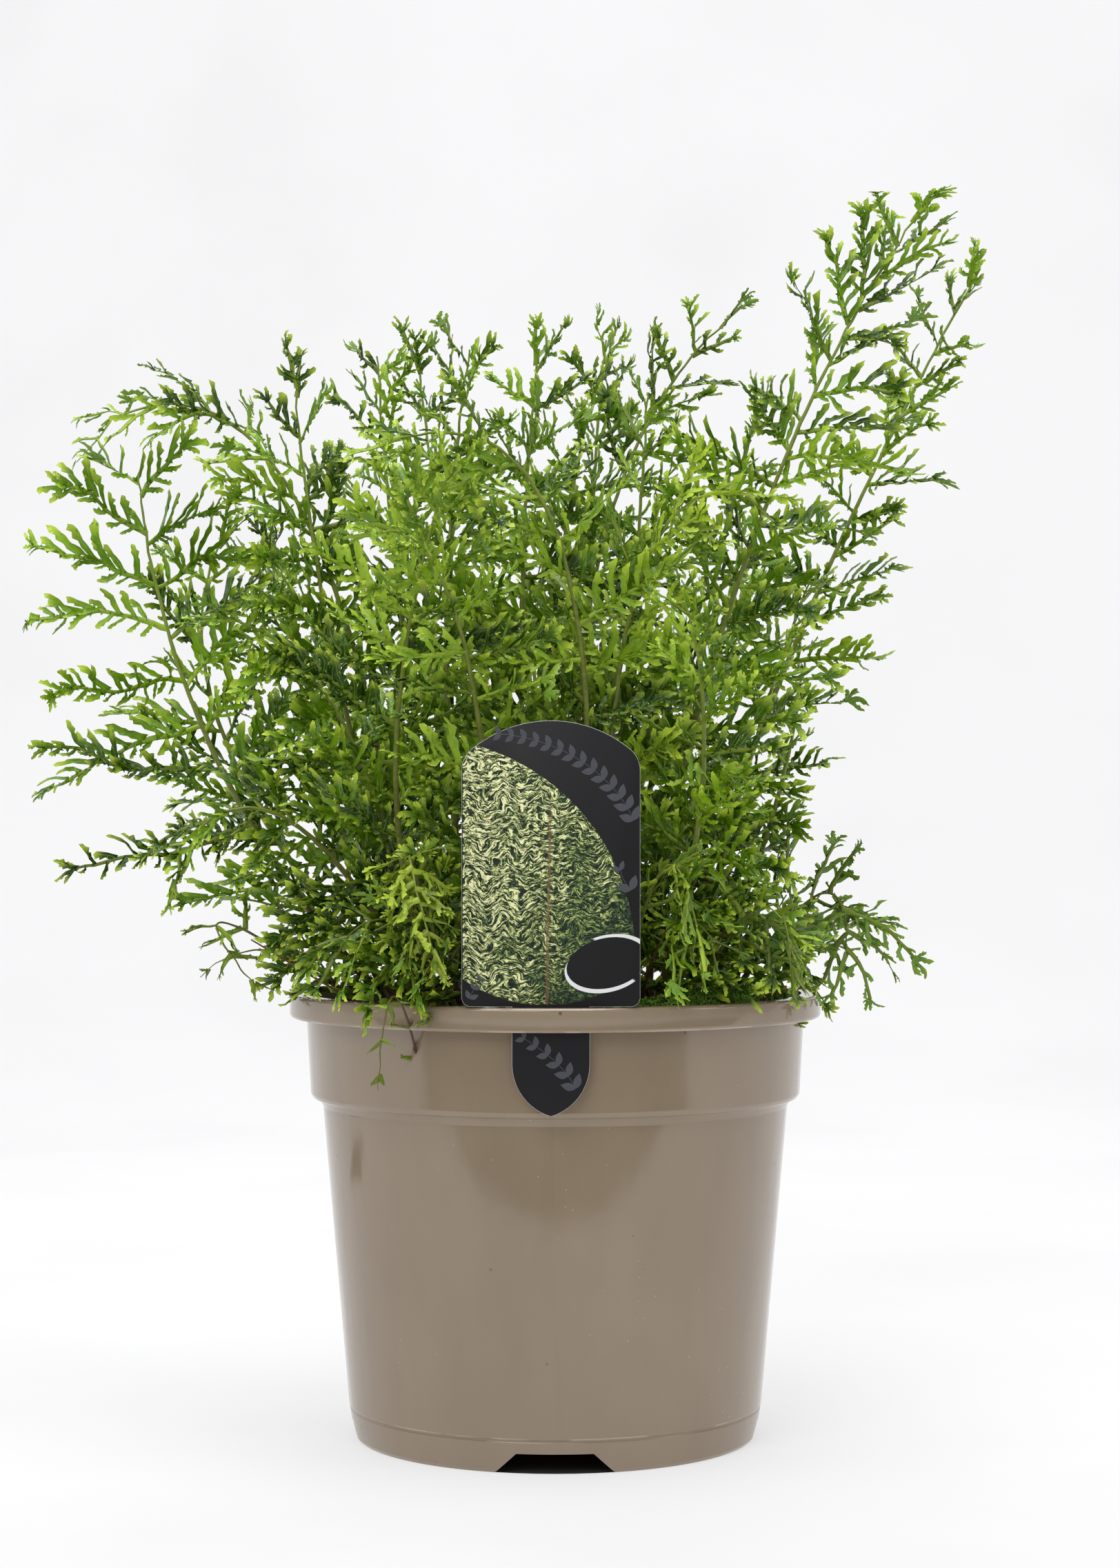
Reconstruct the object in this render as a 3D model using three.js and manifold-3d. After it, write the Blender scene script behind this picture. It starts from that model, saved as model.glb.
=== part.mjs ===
// A crested male fern in a moulded plastic nursery pot, with its plant label pushed through the rim.
// Millimetres, +Z up. The origin is the middle of the pot's underside, on the surface it stands on,
// and the label hangs on the -Y side.
import * as THREE from 'three';
import { ConvexGeometry } from 'three/addons/geometries/ConvexGeometry.js';
import { mergeVertices } from 'three/addons/utils/BufferGeometryUtils.js';
import Module from 'manifold-3d';

// ---------------------------------------------------------------- driving dimensions

const GAP = 0.35; // between pieces that touch
const MERGE = 1e-3;
const OVERSHOOT = 2; // how far a cutter runs past the wall it cuts

const POT = {
  height: 158,
  rimRadius: 95,
  lipHeight: 8.2,
  lipThickness: 1.3,
  bandTopRadius: 89.4,
  bandBottomRadius: 87.5,
  bandBottom: 122,
  bodyTopRadius: 83.1,
  bodyTop: 118,
  seamRadius: 73.7,
  seamHeight: 11.3,
  footRadius: 72,
  wall: 1.2,
  segments: 56,
};

// The drainage channels moulded into the underside, each with a hole in its roof.
const CHANNEL = {
  count: 4,
  halfFoot: 20.4,
  halfRoof: 13.1,
  height: 7,
  innerEnd: 26,
  holeRadius: 4.5,
  holeAt: 50,
};

const COMPOST_TOP = 151.5;

const LABEL = {
  y: -91.2,
  x: -1.3,
  thickness: 0.7,
  halfWidth: 29.5,
  height: 94.5,
  archRadius: 41,
  shoulderRadius: 9,
  cornerRadius: 3,
  tongueHalfWidth: 12.9,
  tongueStraight: 19,
  tongueLength: 36.3,
};

// Crowns: the scaly tops of the rootstock that the fronds rise from.
const CROWN_HEIGHT = 5.5;
const CROWNS = [
  { name: 'crown_left', x: -46, y: 6, radius: 13 },
  { name: 'crown_middle', x: -12, y: -16, radius: 14 },
  { name: 'crown_right', x: 34, y: -10, radius: 14 },
  { name: 'crown_back', x: 4, y: 34, radius: 14 },
];

const MOSS_CUSHIONS = [
  { name: 'moss_front_right', bearing: -46, away: 70, radius: 9, height: 4.6, stretch: 1.5 },
  { name: 'moss_right', bearing: -12, away: 71, radius: 9, height: 4.2, stretch: 1.6 },
  { name: 'moss_front_left', bearing: -116, away: 71, radius: 7, height: 3.6, stretch: 1.5 },
  { name: 'moss_back_left', bearing: 136, away: 66, radius: 12, height: 4.5, stretch: 1.4 },
  { name: 'moss_back_right', bearing: 38, away: 67, radius: 11, height: 4.8, stretch: 1.5 },
];

// Fronds: the name; the foot, where it leaves the compost (x, y); the knee, the point that its rachis
// bends towards; the tip; the bearing in degrees that its upper side looks to, 0 along +X and 90 along
// +Y; the length of its longest leaflets; and how many pairs of leaflets it has.
const FRONDS = [
  ['tall_right', [25, -26], [63, -44, 350], [133, -42, 439.5], -100, 48, 15],
  ['upper_right', [40, 4], [84, 18, 298], [161, 20, 431], -120, 40, 14],
  ['rising_right', [13, 24], [-10, 32, 350], [72, 34, 412], -75, 36, 13],
  ['arching_left', [-50, 1], [-80, -8, 418], [-168, -14, 356], -60, 36, 14],
  ['far_left', [-57, -7], [-140, -24, 238], [-147, -28, 350], -78, 82, 12],
  ['outer_left', [-55, 19], [-160, 26, 268], [-119, 32, 331], -60, 38, 11],
  ['front_left', [-37, -38], [-74, -54, 232], [-32, -86, 346], -80, 42, 13],
  ['middle_left', [-27, -7], [-50, -2, 282], [-29, -6, 396], -125, 40, 14],
  ['middle_arching', [8, -38], [28, -52, 388], [-62, -76, 344], -95, 38, 14],
  ['middle', [-6, -31], [-18, -34, 280], [-5, -30, 393], -55, 38, 13],
  ['upright_right', [33, 8], [42, 10, 250], [74, 14, 372], -40, 40, 12],
  ['pale_arching', [19, -40], [10, -44, 364], [76, -64, 326], -110, 34, 12],
  ['back_middle', [-3, 22], [-8, 26, 330], [22, 28, 395], -30, 36, 13],
  ['back_right', [16, 42], [8, 54, 310], [20, 62, 409], -50, 38, 12],
  ['back_left', [-10, 41], [-42, 62, 300], [-54, 74, 406], -100, 38, 12],
  ['tall_left', [-35, 14], [-60, 30, 292], [-67, 38, 400], -130, 38, 13],
  ['upright_left', [-43, -8], [-86, -18, 272], [-93, -16, 385], -35, 38, 12],
  ['slim_middle', [14, -14], [28, -14, 280], [33, -20, 377], -140, 34, 12],
  ['broad_right', [45, -20], [70, -34, 256], [88, -58, 304], -40, 32, 11],
  ['side_right', [50, -7], [84, -10, 222], [88, -18, 278], -20, 30, 10],
  ['front_right', [33, -46], [62, -70, 240], [42, -88, 296], -120, 34, 10],
  ['low_left', [-44, -30], [-96, -52, 262], [-132, -62, 204], -100, 34, 10],
  ['inner_left', [-46, -17], [-66, -34, 286], [-118, -48, 290], -60, 38, 11],
  ['front_middle', [-18, -38], [-24, -74, 338], [-62, -126, 310], -90, 32, 12],
  ['curled_left', [-63, -26], [-150, -38, 214], [-98, -48, 157], -100, 18, 9],
  ['young_front', [-33, -54], [-62, -84, 258], [-37, -92, 163], -90, 16, 9],
  ['low_right', [60, -2], [108, -10, 228], [103, -14, 166], 100, 30, 9],
  ['drooping_right', [45, -34], [80, -72, 226], [79, -78, 162], 20, 18, 8],
  ['rim_right', [22, -52], [40, -84, 252], [50, -90, 163], 160, 16, 8],
  ['rim_left', [-68, -14], [-100, -26, 190], [-126, -34, 163], 90, 9, 6],
  ['rim_front', [-44, -66], [-55, -106, 197], [-58, -101, 127], 90, 7, 7],
  ['rear_left', [-52, 26], [-98, 62, 280], [-110, 84, 330], -20, 42, 12],
  ['rear_middle', [2, 49], [-10, 92, 300], [-14, 118, 338], -75, 42, 12],
  ['rear_right', [28, 46], [60, 84, 280], [74, 106, 330], -160, 42, 12],
  ['rear_low_left', [-26, 44], [-62, 100, 250], [-78, 124, 246], -30, 38, 10],
  ['rear_low_right', [42, 30], [70, 74, 250], [76, 104, 244], -150, 30, 10],
  ['rear_low_middle', [14, 55], [24, 112, 236], [26, 134, 222], -110, 32, 9],
].map(([name, foot, knee, tip, facing, pinna, pairs]) => (
  { name: `frond_${name}`, foot, knee, tip, facing, pinna, pairs }
));

const FROND = {
  footRadius: 1.5, // half the stalk's thickness at the foot
  tipRadius: 0.45,
  bareStalk: 0.13, // share of the rachis below the first leaflets
  crowding: 0.88, // under 1, leaflets stand closer together towards the tip
  sweep: 34, // degrees that a leaflet leans towards the tip
  lift: 0.12, // how far a leaflet's end rises over the blade, in leaflet lengths
  droop: 0.16, // how far it hangs under its own weight
  rootHalfLength: 2.6, // half of what a leaflet covers of the rachis
  shares: [1, 0.8, 0.6, 0.42, 0.27, 0.14], // lengths to try where a neighbour is in the way
};

const STALKS = [
  { name: 'dead_stalk_left', radius: 0.55, points: [[-62, -44, 152.6], [-78, -50, 163], [-104, -54, 179]] },
  { name: 'dead_stalk_crossing', radius: 0.5, points: [[-70, -30, 152.6], [-84, -40, 174], [-96, -44, 192]] },
  { name: 'dead_stalk_right', radius: 0.7, points: [[66, -38, 152.6], [74, -46, 159.5], [90, -55, 163]] },
];

// ---------------------------------------------------------------- solids

const wasm = await Module();
wasm.setup();

function solidOf(geometry) {
  const bare = geometry.index ? geometry.toNonIndexed() : geometry.clone();
  bare.deleteAttribute('normal');
  bare.deleteAttribute('uv');
  const merged = mergeVertices(bare, MERGE);
  return new wasm.Manifold(new wasm.Mesh({
    numProp: 3,
    vertProperties: merged.attributes.position.array,
    triVerts: new Uint32Array(merged.index.array),
  }));
}

function geometryOf(solid) {
  const { vertProperties, triVerts } = solid.getMesh();
  const geometry = new THREE.BufferGeometry();
  geometry.setAttribute('position', new THREE.BufferAttribute(vertProperties, 3));
  geometry.setIndex(new THREE.BufferAttribute(triVerts, 1));
  geometry.computeVertexNormals();
  return geometry;
}

// A profile of [radius, height] points turned about the Z axis.
function turned(profile, segments) {
  const points = profile.map(([radius, height]) => new THREE.Vector2(radius, height));
  return new THREE.LatheGeometry(points, segments).rotateX(Math.PI / 2);
}

function cut(body, ...cutters) {
  return cutters.reduce((left, cutter) => left.subtract(cutter), body);
}

const { degToRad, lerp } = THREE.MathUtils;

// ---------------------------------------------------------------- materials

const material = (color, roughness) => new THREE.MeshStandardMaterial({ color, roughness, metalness: 0 });
const POT_PLASTIC = material(0x928273, 0.28);
const COMPOST = material(0x2a1d14, 0.95);
const CROWN_SCALES = material(0x5a3a22, 0.9);
const MOSS = material(0x4d6b1c, 0.95);
const LABEL_CARD = material(0x1e1d20, 0.45);
const LEAF = material(0x4f7f22, 0.5);
const DEAD_STALK = material(0x3b2618, 0.85);

// ---------------------------------------------------------------- pot

// The outside of the wall, from the foot up to the underside of the rim.
const WALL_OUTSIDE = [
  [POT.footRadius, 1.4],
  [POT.seamRadius, POT.seamHeight],
  [POT.bodyTopRadius, POT.bodyTop],
  [POT.bodyTopRadius + 1.2, POT.bodyTop + 2.4],
  [POT.bandBottomRadius - 0.9, POT.bandBottom - 0.9],
  [POT.bandBottomRadius, POT.bandBottom + 0.6],
  [POT.bandTopRadius, POT.height - POT.wall],
];

// The same line moved inwards, which is the inside of the wall, or the compost's side.
function insideLine(inset) {
  return WALL_OUTSIDE.map(([radius, height]) => [radius - inset, height + inset * 0.4]);
}

// The drainage channel moulded into the underside, grown by the thickness of its wall.
function channelSolid(grown) {
  const { halfFoot, halfRoof, height, innerEnd } = CHANNEL;
  const outline = new THREE.Shape([
    new THREE.Vector2(-halfFoot - grown, -OVERSHOOT),
    new THREE.Vector2(halfFoot + grown, -OVERSHOOT),
    new THREE.Vector2(halfFoot + grown, 0),
    new THREE.Vector2(halfRoof + grown, height + grown),
    new THREE.Vector2(-halfRoof - grown, height + grown),
    new THREE.Vector2(-halfFoot - grown, 0),
  ]);
  const start = innerEnd - grown;
  const depth = POT.seamRadius + OVERSHOOT - start;
  const prism = new THREE.ExtrudeGeometry(outline, { depth, bevelEnabled: false });
  return prism.rotateX(Math.PI / 2).translate(0, -start, 0);
}

const QUARTERS = Array.from({ length: CHANNEL.count }, (_, i) => (i * 2 * Math.PI) / CHANNEL.count);

function channels(grown) {
  return QUARTERS.map((angle) => solidOf(channelSolid(grown).rotateZ(angle)));
}

function drainHoles() {
  return QUARTERS.map((angle) => {
    const drill = new THREE.CylinderGeometry(CHANNEL.holeRadius, CHANNEL.holeRadius, 20, 12);
    return solidOf(drill.rotateX(Math.PI / 2).translate(0, -CHANNEL.holeAt, CHANNEL.height).rotateZ(angle));
  });
}

function labelSlot() {
  const length = 2 * LABEL.tongueHalfWidth + 2 * GAP;
  const slot = new THREE.BoxGeometry(length, LABEL.thickness + 2 * GAP, 4 * OVERSHOOT);
  return solidOf(slot.translate(LABEL.x, LABEL.y, POT.height));
}

function pot() {
  const { height, rimRadius, lipHeight, lipThickness, wall } = POT;
  const lipInside = rimRadius - lipThickness;
  const lipFoot = height - lipHeight;
  const outside = turned([
    [0, 0],
    [POT.footRadius - 1.2, 0],
    ...WALL_OUTSIDE,
    [lipInside, height - wall],
    [lipInside - 0.1, lipFoot],
    [rimRadius - 0.5, lipFoot],
    [rimRadius, lipFoot + 1],
    [rimRadius, height - 0.8],
    [rimRadius - 0.8, height],
    [0, height],
  ], POT.segments);
  const inside = turned([
    [0, wall],
    [POT.footRadius - wall - 1, wall],
    ...insideLine(wall),
    [POT.bandTopRadius - wall, height + OVERSHOOT],
    [0, height + OVERSHOOT],
  ], POT.segments);
  const shell = cut(solidOf(outside), ...channels(0));
  const hollow = cut(solidOf(inside), ...channels(wall));
  return cut(shell, hollow, ...drainHoles(), labelSlot());
}

// ---------------------------------------------------------------- compost, crowns and moss

// Half a section of a crown, from 0 on its axis to 1 at its widest, and up to 1 at its top.
const CROWN_PROFILE = [[0, -0.9], [0.62, -0.7], [1, 0], [0.9, 0.43], [0.55, 0.83], [0, 1]];

function crownGeometry({ x, y, radius }, grown) {
  const profile = CROWN_PROFILE.map(([across, up]) => [
    across * (radius + grown),
    up * (CROWN_HEIGHT + grown),
  ]);
  return turned(profile, 12).translate(x, y, COMPOST_TOP);
}

// The root ball: compost bound by roots, filling the pot up to just under the rim.
function rootBall() {
  const side = POT.wall + GAP;
  const below = insideLine(side).filter(([, height]) => height < POT.bandBottom + 2);
  const body = turned([
    [0, POT.wall + GAP],
    [POT.footRadius - side - 1.4, POT.wall + GAP],
    ...below,
    [POT.bandTopRadius - side - 0.6, COMPOST_TOP - 1.5],
    [POT.bandTopRadius - side - 6, COMPOST_TOP],
    [0, COMPOST_TOP],
  ], 40);
  const crownSockets = CROWNS.map((crown) => solidOf(crownGeometry(crown, GAP)));
  return cut(solidOf(body), ...channels(side), ...crownSockets);
}

// A flat-bottomed cushion, longer along the rim than across.
function mossGeometry({ bearing, away, radius, height, stretch }) {
  const dome = turned([[0, 0], [0.86, 0], [1, 0.3], [0.72, 0.75], [0.3, 1], [0, 0.92]], 10);
  return dome
    .scale(radius, radius * stretch, height)
    .translate(away, 0, COMPOST_TOP + GAP)
    .rotateZ(degToRad(bearing));
}

// ---------------------------------------------------------------- label

// One flat card, its head an arch with rounded shoulders and its tongue a pointed tab.
function labelOutline() {
  const { halfWidth, height, archRadius, shoulderRadius, cornerRadius } = LABEL;
  const { tongueHalfWidth, tongueStraight, tongueLength } = LABEL;
  const shoulderX = halfWidth - shoulderRadius;
  const between = archRadius - shoulderRadius;
  const rise = Math.sqrt(between ** 2 - shoulderX ** 2);
  const archCentre = height - archRadius;
  const turn = Math.atan2(rise, shoulderX);
  const pointHeight = tongueLength - tongueStraight;
  const pointRadius = (tongueHalfWidth ** 2 + pointHeight ** 2) / (2 * tongueHalfWidth);
  const pointTurn = Math.asin(pointHeight / pointRadius);
  const inset = pointRadius - tongueHalfWidth;
  const shape = new THREE.Shape();
  shape.moveTo(tongueHalfWidth, 0);
  shape.lineTo(halfWidth - cornerRadius, 0);
  shape.absarc(halfWidth - cornerRadius, cornerRadius, cornerRadius, -Math.PI / 2, 0);
  shape.absarc(shoulderX, archCentre + rise, shoulderRadius, 0, turn);
  shape.absarc(0, archCentre, archRadius, turn, Math.PI - turn);
  shape.absarc(-shoulderX, archCentre + rise, shoulderRadius, Math.PI - turn, Math.PI);
  shape.absarc(cornerRadius - halfWidth, cornerRadius, cornerRadius, Math.PI, 1.5 * Math.PI);
  shape.lineTo(-tongueHalfWidth, 0);
  shape.absarc(inset, -tongueStraight, pointRadius, Math.PI, Math.PI + pointTurn);
  shape.absarc(-inset, -tongueStraight, pointRadius, -pointTurn, 0);
  shape.closePath();
  return shape;
}

function label() {
  const card = new THREE.ExtrudeGeometry(labelOutline(), {
    depth: LABEL.thickness,
    bevelEnabled: false,
    curveSegments: 6,
  });
  card.rotateX(Math.PI / 2);
  return solidOf(card.translate(LABEL.x, LABEL.y + LABEL.thickness / 2, POT.height + GAP));
}

// ---------------------------------------------------------------- fronds

// The height that a frond's foot stands at, on the compost or on the crown there.
function groundAt(x, y) {
  const heights = CROWNS.map((crown) => {
    const nearest = Math.max(Math.hypot(x - crown.x, y - crown.y) - FROND.footRadius, 0);
    const away = nearest / crown.radius;
    return away < 1 ? CROWN_HEIGHT * Math.sqrt(1 - away ** 2) : 0;
  });
  return COMPOST_TOP + Math.max(...heights) + GAP;
}

// How long the leaflets are, from the first pair (0) to the tip (1), as a share of the longest.
function leafletShare(along) {
  return Math.min(0.72 + 1.1 * along, 1) * (1 - 0.9 * along ** 3);
}

// The rachis of a frond, and the directions across it: out of the blade's upper side, and to its left.
function frondFrame({ foot, knee, tip, facing }) {
  const [x, y] = foot;
  const rachis = new THREE.QuadraticBezierCurve3(
    new THREE.Vector3(x, y, groundAt(x, y)),
    new THREE.Vector3(...knee),
    new THREE.Vector3(...tip),
  );
  const bearing = degToRad(facing);
  const look = new THREE.Vector3(Math.cos(bearing), Math.sin(bearing), 0.8);
  return (along) => {
    const centre = rachis.getPointAt(along);
    const forward = rachis.getTangentAt(along);
    const up = look.clone().addScaledVector(forward, -look.dot(forward)).normalize();
    const left = new THREE.Vector3().crossVectors(up, forward);
    const radius = lerp(FROND.footRadius, FROND.tipRadius, along);
    return { along, centre, forward, up, left, radius };
  };
}

// A point that is so far forward, up and left of a station on the rachis.
function beside(station, forward, up, left) {
  return station.centre.clone()
    .addScaledVector(station.forward, forward)
    .addScaledVector(station.up, up)
    .addScaledVector(station.left, left);
}

// The four corners of the rachis at a station: upper, left, lower and right.
function stalkCorners(station) {
  const r = station.radius;
  const corners = [[r, 0], [0, r], [-r, 0], [0, -r]].map(([up, left]) => beside(station, 0, up, left));
  const isFoot = station.along === 0;
  return isFoot ? corners.map((corner) => corner.setZ(station.centre.z)) : corners;
}

function leafletTip(station, side, length) {
  const sweep = degToRad(FROND.sweep);
  const tip = beside(station, length * Math.sin(sweep), length * FROND.lift, side * length * Math.cos(sweep));
  tip.z -= length * FROND.droop;
  return tip;
}

// The stations of a frond: three for its bare stalk, then three for each pair of leaflets, then its tip.
function stationsOf(spec) {
  const at = frondFrame(spec);
  const length = at(0).centre.distanceTo(at(1).centre);
  const half = FROND.rootHalfLength / length;
  const bare = [0, 0.4, 0.8].map((share) => at(share * FROND.bareStalk));
  const pairs = Array.from({ length: spec.pairs }, (_, i) => {
    const along = ((i + 0.5) / spec.pairs) ** FROND.crowding;
    const place = lerp(FROND.bareStalk, 1 - 2 * half, along);
    const reach = spec.pinna * leafletShare(along);
    const share = 1 - 0.6 * along;
    return [at(place - half * share), { ...at(place), reach, lengths: [0, 0] }, at(place + half * share)];
  });
  return { bare, pairs, end: at(1) };
}

// A square tube through rings of four corners, from a cylinder whose vertices are moved to them.
function lofted(rings) {
  const spans = rings.length - 1;
  const geometry = new THREE.CylinderGeometry(1, 1, 1, 4, spans);
  const vertex = new THREE.Vector3();
  const { position } = geometry.attributes;
  for (let i = 0; i < position.count; i += 1) {
    vertex.fromBufferAttribute(position, i);
    const ring = rings[Math.round((0.5 - vertex.y) * spans)];
    const corner = (Math.round(Math.atan2(vertex.x, vertex.z) / (Math.PI / 2)) + 4) % 4;
    const onAxis = Math.hypot(vertex.x, vertex.z) < 0.5;
    const target = onAxis ? ring.centre : ring.corners[corner];
    position.setXYZ(i, target.x, target.y, target.z);
  }
  return geometry;
}

// The whole frond as one closed body, with each leaflet at the length it was given.
function frondGeometry({ bare, pairs, end }) {
  const plain = (station) => ({ centre: station.centre, corners: stalkCorners(station) });
  const winged = (station) => {
    const [upper, left, lower, right] = stalkCorners(station);
    const [leftLength, rightLength] = station.lengths;
    const corners = [
      upper,
      leftLength ? leafletTip(station, 1, leftLength) : left,
      lower,
      rightLength ? leafletTip(station, -1, rightLength) : right,
    ];
    return { centre: station.centre, corners };
  };
  const leaflets = pairs.flatMap(([before, middle, after]) => [plain(before), winged(middle), plain(after)]);
  return lofted([...bare.map(plain), ...leaflets, plain(end)]);
}

// The room that one leaflet needs, a little larger than the leaflet.
function leafletRoom([before, middle, after], side, length) {
  const tip = leafletTip(middle, side, length * 1.03);
  const room = [before, middle, after].flatMap((station) => [
    beside(station, 0, station.radius, 0),
    beside(station, 0, -station.radius, 0),
    beside(station, 0, 0, side * station.radius),
  ]);
  const spread = [middle.up, middle.forward].flatMap((way) => [
    tip.clone().addScaledVector(way, GAP),
    tip.clone().addScaledVector(way, -GAP),
  ]);
  return solidOf(new ConvexGeometry([...room, ...spread]));
}

function boxesMeet(a, b) {
  return [0, 1, 2].every((axis) => a.min[axis] <= b.max[axis] && b.min[axis] <= a.max[axis]);
}

const withBox = (name, solid) => ({ name, solid, box: solid.boundingBox() });

// Whether a leaflet's room is clear of all of these solids.
function isClear(room, obstacles) {
  const box = room.boundingBox();
  return obstacles.every((other) => !boxesMeet(box, other.box) || room.intersect(other.solid).isEmpty());
}

// Gives one frond's leaflets their lengths: each as long as what stands around the frond, and the
// frond's other leaflets, leave room for.
function growLeaflets(frond, around) {
  const grown = [];
  frond.pairs.forEach((pair, order) => {
    const middle = pair[1];
    const own = grown.filter((leaflet) => leaflet.order !== order);
    [1, -1].forEach((side, index) => {
      const rooms = FROND.shares.map((share) => ({ order, length: share * middle.reach }));
      const fitting = rooms.find((room) => {
        Object.assign(room, withBox(frond.name, leafletRoom(pair, side, room.length)));
        return isClear(room.solid, around) && isClear(room.solid, own);
      });
      middle.lengths[index] = fitting ? fitting.length : 0;
      if (fitting) grown.push(fitting);
    });
  });
}

// All the fronds, grown in turn between the pieces that already stand.
function growFronds(standing) {
  const fronds = FRONDS.map((spec) => ({ name: spec.name, ...stationsOf(spec) }));
  const obstacles = fronds.map((frond) => withBox(frond.name, solidOf(frondGeometry(frond))));
  fronds.forEach((frond, own) => {
    growLeaflets(frond, [...standing, ...obstacles.filter((_, i) => i !== own)]);
    frond.geometry = frondGeometry(frond);
    obstacles[own] = withBox(frond.name, solidOf(frond.geometry));
  });
  return fronds;
}

// ---------------------------------------------------------------- dead stalks

function stalkGeometry({ radius, points }) {
  const path = new THREE.CatmullRomCurve3(points.map((point) => new THREE.Vector3(...point)));
  const section = new THREE.Shape();
  section.absarc(0, 0, radius, 0, 2 * Math.PI);
  return new THREE.ExtrudeGeometry(section, { steps: 7, curveSegments: 3, extrudePath: path });
}

// ---------------------------------------------------------------- the whole object

const plant = new THREE.Group();

function add(name, geometry, finish) {
  const mesh = new THREE.Mesh(geometry, finish);
  mesh.name = name;
  plant.add(mesh);
  return withBox(name, solidOf(geometry));
}

const fixed = [
  add('pot', geometryOf(pot()), POT_PLASTIC),
  add('root_ball', geometryOf(rootBall()), COMPOST),
  add('plant_label', geometryOf(label()), LABEL_CARD),
  ...CROWNS.map((crown) => add(crown.name, crownGeometry(crown, 0), CROWN_SCALES)),
  ...MOSS_CUSHIONS.map((moss) => add(moss.name, mossGeometry(moss), MOSS)),
  ...STALKS.map((stalk) => add(stalk.name, stalkGeometry(stalk), DEAD_STALK)),
];

growFronds(fixed).forEach(({ name, geometry }) => add(name, geometry, LEAF));

export default plant;
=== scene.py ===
"""A potted fern with narrow, crested leaflets, in a moulded nursery pot with its plant label."""

import math

import bmesh
import bpy
from mathutils import Matrix, Vector


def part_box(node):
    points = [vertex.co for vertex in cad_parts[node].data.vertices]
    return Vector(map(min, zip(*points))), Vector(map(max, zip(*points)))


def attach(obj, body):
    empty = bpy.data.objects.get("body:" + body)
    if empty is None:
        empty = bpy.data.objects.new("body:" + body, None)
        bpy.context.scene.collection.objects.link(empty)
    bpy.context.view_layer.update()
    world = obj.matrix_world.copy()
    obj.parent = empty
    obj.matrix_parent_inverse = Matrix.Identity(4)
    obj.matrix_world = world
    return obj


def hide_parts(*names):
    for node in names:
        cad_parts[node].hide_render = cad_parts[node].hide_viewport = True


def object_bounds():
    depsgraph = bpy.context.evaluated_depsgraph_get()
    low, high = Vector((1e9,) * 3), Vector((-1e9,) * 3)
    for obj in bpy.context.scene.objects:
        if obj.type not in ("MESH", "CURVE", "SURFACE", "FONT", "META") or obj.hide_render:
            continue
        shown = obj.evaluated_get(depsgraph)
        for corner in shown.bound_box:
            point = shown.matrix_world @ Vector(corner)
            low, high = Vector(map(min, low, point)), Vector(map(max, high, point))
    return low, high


bl_info = {
    "name": "Potted Fern",
    "version": (1, 0, 0),
    "blender": (4, 5, 0),
    "location": "3D View > Sidebar > Potted Fern",
    "description": "Builds a potted fern with its pot, label and stage",
    "category": "Object",
}

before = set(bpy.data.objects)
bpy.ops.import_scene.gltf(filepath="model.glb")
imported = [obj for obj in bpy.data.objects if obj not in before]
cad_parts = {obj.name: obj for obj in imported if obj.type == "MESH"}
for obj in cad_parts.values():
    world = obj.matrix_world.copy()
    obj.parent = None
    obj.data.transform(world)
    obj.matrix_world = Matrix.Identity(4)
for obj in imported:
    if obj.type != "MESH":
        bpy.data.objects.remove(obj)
CAD_BOX = [list(corner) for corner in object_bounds()]
BODY = "root"
MM = 0.001
COMPOST_TOP = 151.5 * MM
TEMPLATES = 3  # how many shapes each collection of templates holds

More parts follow.
